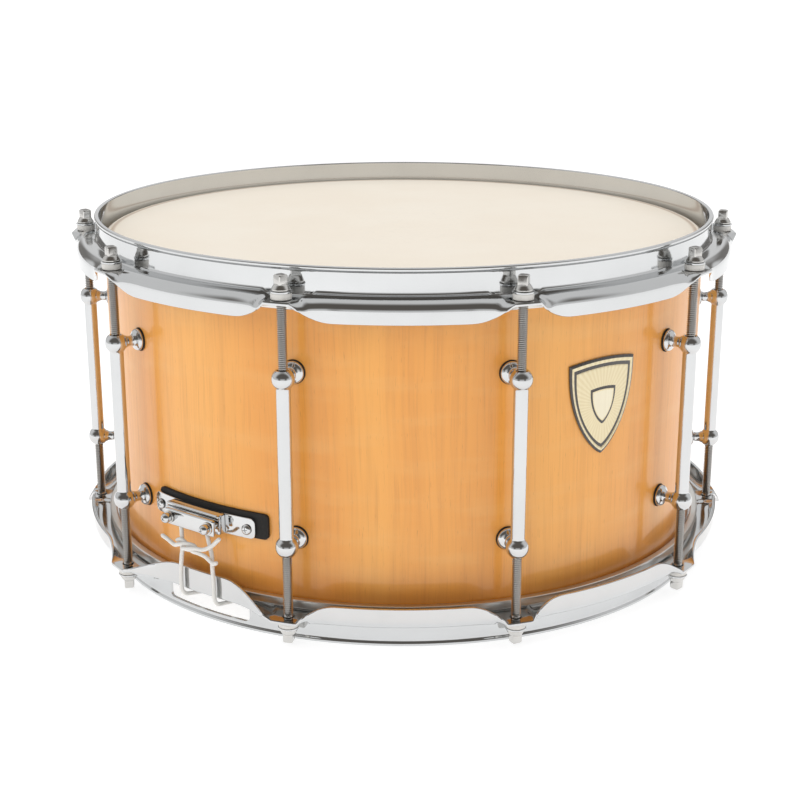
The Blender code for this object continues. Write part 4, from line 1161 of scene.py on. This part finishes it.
def make_wires():
    """Twenty coiled strands between two end plates."""
    plates = Shape()
    half = 10 * STRAND_PITCH + 0.001
    middle = WIRE_TOP - STRAND_SIZE / 2
    for side in (-1, 1):
        near, far = sorted((side * (WIRE_HALF_LENGTH - 0.011), side * WIRE_HALF_LENGTH))
        outline = rounded_box(half, near, far, 0.0015, steps=4)
        rows = []
        low = WIRE_LOW + 0.0003 - 0.0010 - middle
        for z, inset in ((low, 0.0003), (low + 0.0003, 0), (low + 0.0009, 0),
                         (low + 0.0010, 0.0001)):
            rows.append([(x * (1 - inset / half), y, z) for x, y in outline])
        plates.rows(rows)
    mesh = STRANDS.grow(plates.mesh("plates"), SPRING_STEEL, Strands=20,
                        Strand_Pitch=STRAND_PITCH, Coils=110, Steps=8,
                        Coil_Radius=STRAND_SIZE / 2 - 0.00024, Wire_Radius=0.00024,
                        Half_Length=WIRE_HALF_LENGTH - 0.004)
    mesh.transform(at(BUTT_AZIMUTH, 0, middle))
    piece("snare_wire_set", mesh, SPRING_STEEL, "snare_wires", "steel", "snare_wires")


# Half of a cord from the middle of its clamp down to the end plate of the wires:
# (across, outward from the drum's axis, height)
CORD_HALF_ROUTE = [(0.0, 0.1864, -0.0436), (0.0048, 0.1864, -0.0440), (0.0080, 0.1864, -0.0462),
                   (0.0092, 0.1864, -0.0500), (0.0099, 0.1869, -0.0545), (0.0107, 0.1876, -0.0600),
                   (0.0113, 0.1881, -0.0660), (0.0118, 0.1883, -0.0720), (0.0121, 0.1884, -0.0780),
                   (0.0121, 0.1884, -0.0825), (0.0120, 0.1878, -0.0862), (0.0119, 0.1857, -0.0887),
                   (0.0117, 0.1822, -0.0898), (0.0115, 0.1785, -0.0906), (0.0113, 0.1750, -0.0914),
                   (0.0111, 0.1715, -0.0919), (0.0110, 0.1660, -0.0921), (0.0110, 0.1609, -0.0921)]
CORD_FREE = -0.0600                # below this height a cord hangs straight over its gate
BUTT_CORD_SHIFT = (-0.0031, 0.0028)   # across and up, with the butt clamp


def shifted(point, across, lift):
    """A point of a cord moved with its clamp, and less so the nearer it is to the gate."""
    hold = min(1.0, max(0.0, (point[2] - CORD_FREE) / (CORD_HALF_ROUTE[3][2] - CORD_FREE)))
    return point[0] + across * hold, -point[1], point[2] + lift * hold


def smooth_route(points, spacing):
    """Points at an even spacing on a smooth curve through the route's own points."""
    points = [Vector(p) for p in points]
    ends = [points[0] * 2 - points[1]] + points + [points[-1] * 2 - points[-2]]
    fine = []
    for a, b, c, d in zip(ends, ends[1:], ends[2:], ends[3:]):
        for step in range(24):
            t = step / 24
            fine.append(0.5 * (2 * b + (c - a) * t + (2 * a - 5 * b + 4 * c - d) * t * t
                               + (3 * b - a - 3 * c + d) * t ** 3))
    fine.append(points[-1])
    length = sum((q - p).length for p, q in zip(fine, fine[1:]))
    count = max(2, round(length / spacing))
    route, travelled, target = [fine[0]], 0.0, length / count
    for p, q in zip(fine, fine[1:]):
        step = (q - p).length
        while travelled + step >= target and len(route) < count:
            route.append(p.lerp(q, (target - travelled) / step))
            target += length / count
        travelled += step
    return route + [fine[-1]]


PLAIT_SIDES = 16
PLAIT_STEP = 0.00045


def plaited(path, radius, place, store):
    """Add a plaited cord along a path: its surface swells and dips with the strands.
    store collects where each point lies: round the cord, and along it in diameters."""
    shape, lays = store
    path = smooth_route(path, PLAIT_STEP)
    rows, lay = [], []
    normal = None
    last = len(path) - 1
    for k, p in enumerate(path):
        ahead = (path[min(k + 1, last)] - path[max(k - 1, 0)]).normalized()
        if normal is None:
            normal = ahead.orthogonal()
        normal = (normal - ahead * normal.dot(ahead)).normalized()
        other = ahead.cross(normal)
        along = k * PLAIT_STEP / (2 * radius)
        nearest = min(k, last - k)
        taper = 0.55 + 0.45 * min(1.0, nearest / 2)
        row = []
        for i in range(PLAIT_SIDES):
            share = i / PLAIT_SIDES
            swell = cos(tau * (share * 4 + along * 0.9)) * cos(tau * (share * 4 - along * 0.9))
            r = radius * taper * (0.95 + 0.08 * swell)
            row.append(p + (normal * cos(tau * share) + other * sin(tau * share)) * r)
            lay.append((share, along))
        rows.append(row)
    shape.rows(rows, place)
    lays += lay
    return shape


def cord_mesh(name, paths, azimuth):
    """One mesh of plaited cords, with its own UV map along the lay."""
    shape, lays = Shape(), []
    for path, radius in paths:
        plaited(path, radius, at(azimuth), (shape, lays))
    mesh = bpy.data.meshes.new(name)
    mesh.from_pydata(shape.points, [], shape.faces)
    bm = bmesh.new()
    bm.from_mesh(mesh)
    bmesh.ops.recalc_face_normals(bm, faces=bm.faces)
    bm.to_mesh(mesh)
    bm.free()
    layer = mesh.uv_layers.new(name="lay")
    for polygon in mesh.polygons:
        shares = [lays[mesh.loops[i].vertex_index][0] for i in polygon.loop_indices]
        wrap = max(shares) - min(shares) > 0.5
        for i in polygon.loop_indices:
            share, along = lays[mesh.loops[i].vertex_index]
            layer.data[i].uv = (share + 1 if wrap and share < 0.5 else share, along / 4)
    mesh.shade_smooth()
    return mesh


def make_cord(name, azimuth, body, across, lift, knot):
    right = [shifted(p, across, lift) for p in CORD_HALF_ROUTE]
    left = [shifted((-x, r, z), across, lift) for x, r, z in CORD_HALF_ROUTE[:0:-1]]
    paths = [(left + right, CORD_RADIUS)]
    if knot:
        paths += knot_paths()
    piece(f"{name}_plait", cord_mesh(name, paths, azimuth), PLAIT, body, "cord", name)


def knot_paths():
    """A tight overhand knot between the two legs, with its loose ends."""
    left_end = [(-0.0248, -0.1893, -0.0560), (-0.0205, -0.1890, -0.0577),
                (-0.0165, -0.1896, -0.0588), (-0.0125, -0.1915, -0.0583),
                (-0.0085, -0.1924, -0.0567), (-0.0045, -0.1918, -0.0556),
                (-0.0006, -0.1900, -0.0563), (0.0008, -0.1892, -0.0580),
                (-0.0022, -0.1898, -0.0594), (-0.0062, -0.1908, -0.0591),
                (-0.0098, -0.1900, -0.0578)]
    low_end = [(-0.0132, -0.1898, -0.0562), (-0.0090, -0.1896, -0.0552),
               (-0.0042, -0.1900, -0.0573), (0.0004, -0.1916, -0.0588),
               (0.0050, -0.1916, -0.0590), (0.0090, -0.1908, -0.0602),
               (0.0122, -0.1902, -0.0624), (0.0150, -0.1903, -0.0629),
               (0.0171, -0.1903, -0.0617)]
    right_end = [(-0.0070, -0.1926, -0.0588), (-0.0020, -0.1934, -0.0574),
                 (0.0036, -0.1927, -0.0563), (0.0084, -0.1918, -0.0560),
                 (0.0130, -0.1908, -0.0537), (0.0165, -0.1896, -0.0502),
                 (0.0186, -0.1890, -0.0480)]
    return [(path, CORD_RADIUS * 0.98) for path in (left_end, low_end, right_end)]


# ---- badge --------------------------------------------------------------------------------
def shield_outline(half_width, top, tip, steps=40):
    """Outline of a plain shield: a slightly arched top and sides that sweep down to a tip."""
    side = []
    for step in range(steps + 1):
        share = step / steps
        side.append((half_width * (1 - share ** 2.3) ** 0.8, top + (tip - top) * share))
    arch = [(half_width * k / 9, top + 0.0022 * (1 - (k / 9) ** 2)) for k in range(8, -9, -1)]
    return side + [(-x, z) for x, z in side[-2::-1]] + [(-x, z) for x, z in arch]


def make_badge():
    """A plain shield with a raised border, laid on the shell. Its own UV map holds how far
    each point is from the middle towards the outline."""
    shape = Shape()
    levels = ((1.0, 0.0003), (1.0, 0.0009), (0.985, 0.0012), (0.955, 0.0014), (0.91, 0.0014),
              (0.885, 0.0012), (0.87, 0.0010), (0.81, 0.0010), (0.785, 0.0012), (0.5, 0.00125),
              (0.36, 0.0013), (0.34, 0.0014), (0.30, 0.0014), (0.0, 0.0014))
    rows, reaches = [], []
    for x, z in shield_outline(BADGE_HALF_WIDTH, BADGE_TOP, BADGE_TIP):
        row = [(0.0, -SHELL_RADIUS - 0.0003, 0.0)]
        reaches.append(1.0)
        for scale, lift in levels:
            radius = SHELL_RADIUS + lift
            angle = scale * x / radius
            row.append((radius * sin(angle), -radius * cos(angle), scale * z))
            reaches.append(scale)
        rows.append(row)
    shape.rows(rows, at(BADGE_AZIMUTH, 0, BADGE_HEIGHT), ring=False, loop=True)
    mesh = bpy.data.meshes.new("shield")
    mesh.from_pydata(shape.points, [], shape.faces)
    layer = mesh.uv_layers.new(name="reach")
    for loop in mesh.loops:
        layer.data[loop.index].uv = (0.0, reaches[loop.vertex_index])
    bm = bmesh.new()
    bm.from_mesh(mesh)
    bmesh.ops.remove_doubles(bm, verts=bm.verts, dist=0.000001)
    bmesh.ops.recalc_face_normals(bm, faces=bm.faces)
    bm.to_mesh(mesh)
    bm.free()
    piece("shield_badge", mesh, ENAMEL, "drum", "badge_enamel", "badge")


# ---- stage --------------------------------------------------------------------------------
def make_stage():
    bpy.ops.mesh.primitive_plane_add(size=14, location=(0, 0, -0.0002))
    floor = bpy.context.object
    floor.name = "floor"
    paper = Finish("pale_paper", {"Base Color": colour(0.50, 0.50, 0.50), "Roughness": 0.9,
                                  "Emission Color": colour(1, 1, 1), "Emission Strength": 0.76,
                                  "Specular IOR Level": 0.1})
    floor.data.materials.append(paper.material)

    def softbox(name, place, aim, width, height, power):
        light = bpy.data.lights.new(name, "AREA")
        light.shape = "RECTANGLE"
        light.size, light.size_y, light.energy = width, height, power
        obj = bpy.data.objects.new(name, light)
        bpy.context.scene.collection.objects.link(obj)
        obj.location = place
        obj.rotation_euler = (Vector(aim) - Vector(place)).to_track_quat("-Z", "Y").to_euler()
        obj.visible_glossy = False

    softbox("key_box", (-0.9, -1.5, 1.25), (0, 0, 0.1), 1.5, 1.5, 12)
    softbox("top_box", (0.1, 0.35, 1.5), (0, 0, 0.1), 1.5, 1.1, 8)
    softbox("fill_box", (1.5, -1.0, 0.8), (0, 0, 0.1), 0.8, 1.0, 3)

    world = bpy.data.worlds.new("studio")
    bpy.context.scene.world = world
    world.use_nodes = True
    tree = Tree(world.node_tree)
    ray = tree.node("ShaderNodeTexCoord", out="Generated")
    x, y, z = tree.parts(ray)
    dark = (0 - y).ramp(0.05, 0.55) * z.ramp(0.05, 0.35)
    side = x.size()
    stripe = side.ramp(0.30, 0.42) * (1 - side.ramp(0.60, 0.72)) * (1 - z.ramp(0.2, 0.5))
    dark = dark + (1 - dark) * stripe * 0.85
    tone = tree.node("ShaderNodeMix", {"data_type": "RGBA"},
                     {0: dark, 6: colour(1, 1, 1), 7: colour(0.17, 0.155, 0.14)}, 2)
    back = world.node_tree.nodes["Background"]
    seen = tree.node("ShaderNodeLightPath", out="Is Camera Ray")
    shown = tree.node("ShaderNodeMix", {"data_type": "RGBA"},
                      {0: seen, 6: tone, 7: colour(1.5, 1.5, 1.5)}, 2)
    tree.links.new(shown.socket, back.inputs["Color"])
    back.inputs["Strength"].default_value = 0.74


def make_camera():
    lens = bpy.data.cameras.new("camera")
    lens.lens = 68.91
    camera = bpy.data.objects.new("camera", lens)
    bpy.context.scene.collection.objects.link(camera)
    camera.location = (0.0036, -0.9145, MIDDLE + 0.2571)
    camera.rotation_euler = (radians(90 - 16.937), 0, radians(0.365))
    bpy.context.scene.camera = camera
    bpy.context.scene.view_settings.view_transform = "Standard"


make_camera()
make_cord("butt_cord", BUTT_AZIMUTH, "drum", *BUTT_CORD_SHIFT, knot=True)
make_cord("strainer_cord", STRAINER_AZIMUTH, "strainer_carriage", 0.0, 0.0, knot=False)
make_shell()
make_head("batter_film", "batter_head", "batter_band", "batter_flesh_hoop", 1, COATED_FILM)
make_head("snare_side_film", "snare_side_head", "snare_side_band", "snare_flesh_hoop", -1,
          CLEAR_FILM)
make_hoop("batter_hoop_flanged", "batter_hoop", 1)
make_hoop("snare_hoop_flanged", "snare_hoop", -1)
make_lugs()
make_rods()
make_butt()
make_strainer()
make_wires()
make_badge()
make_stage()
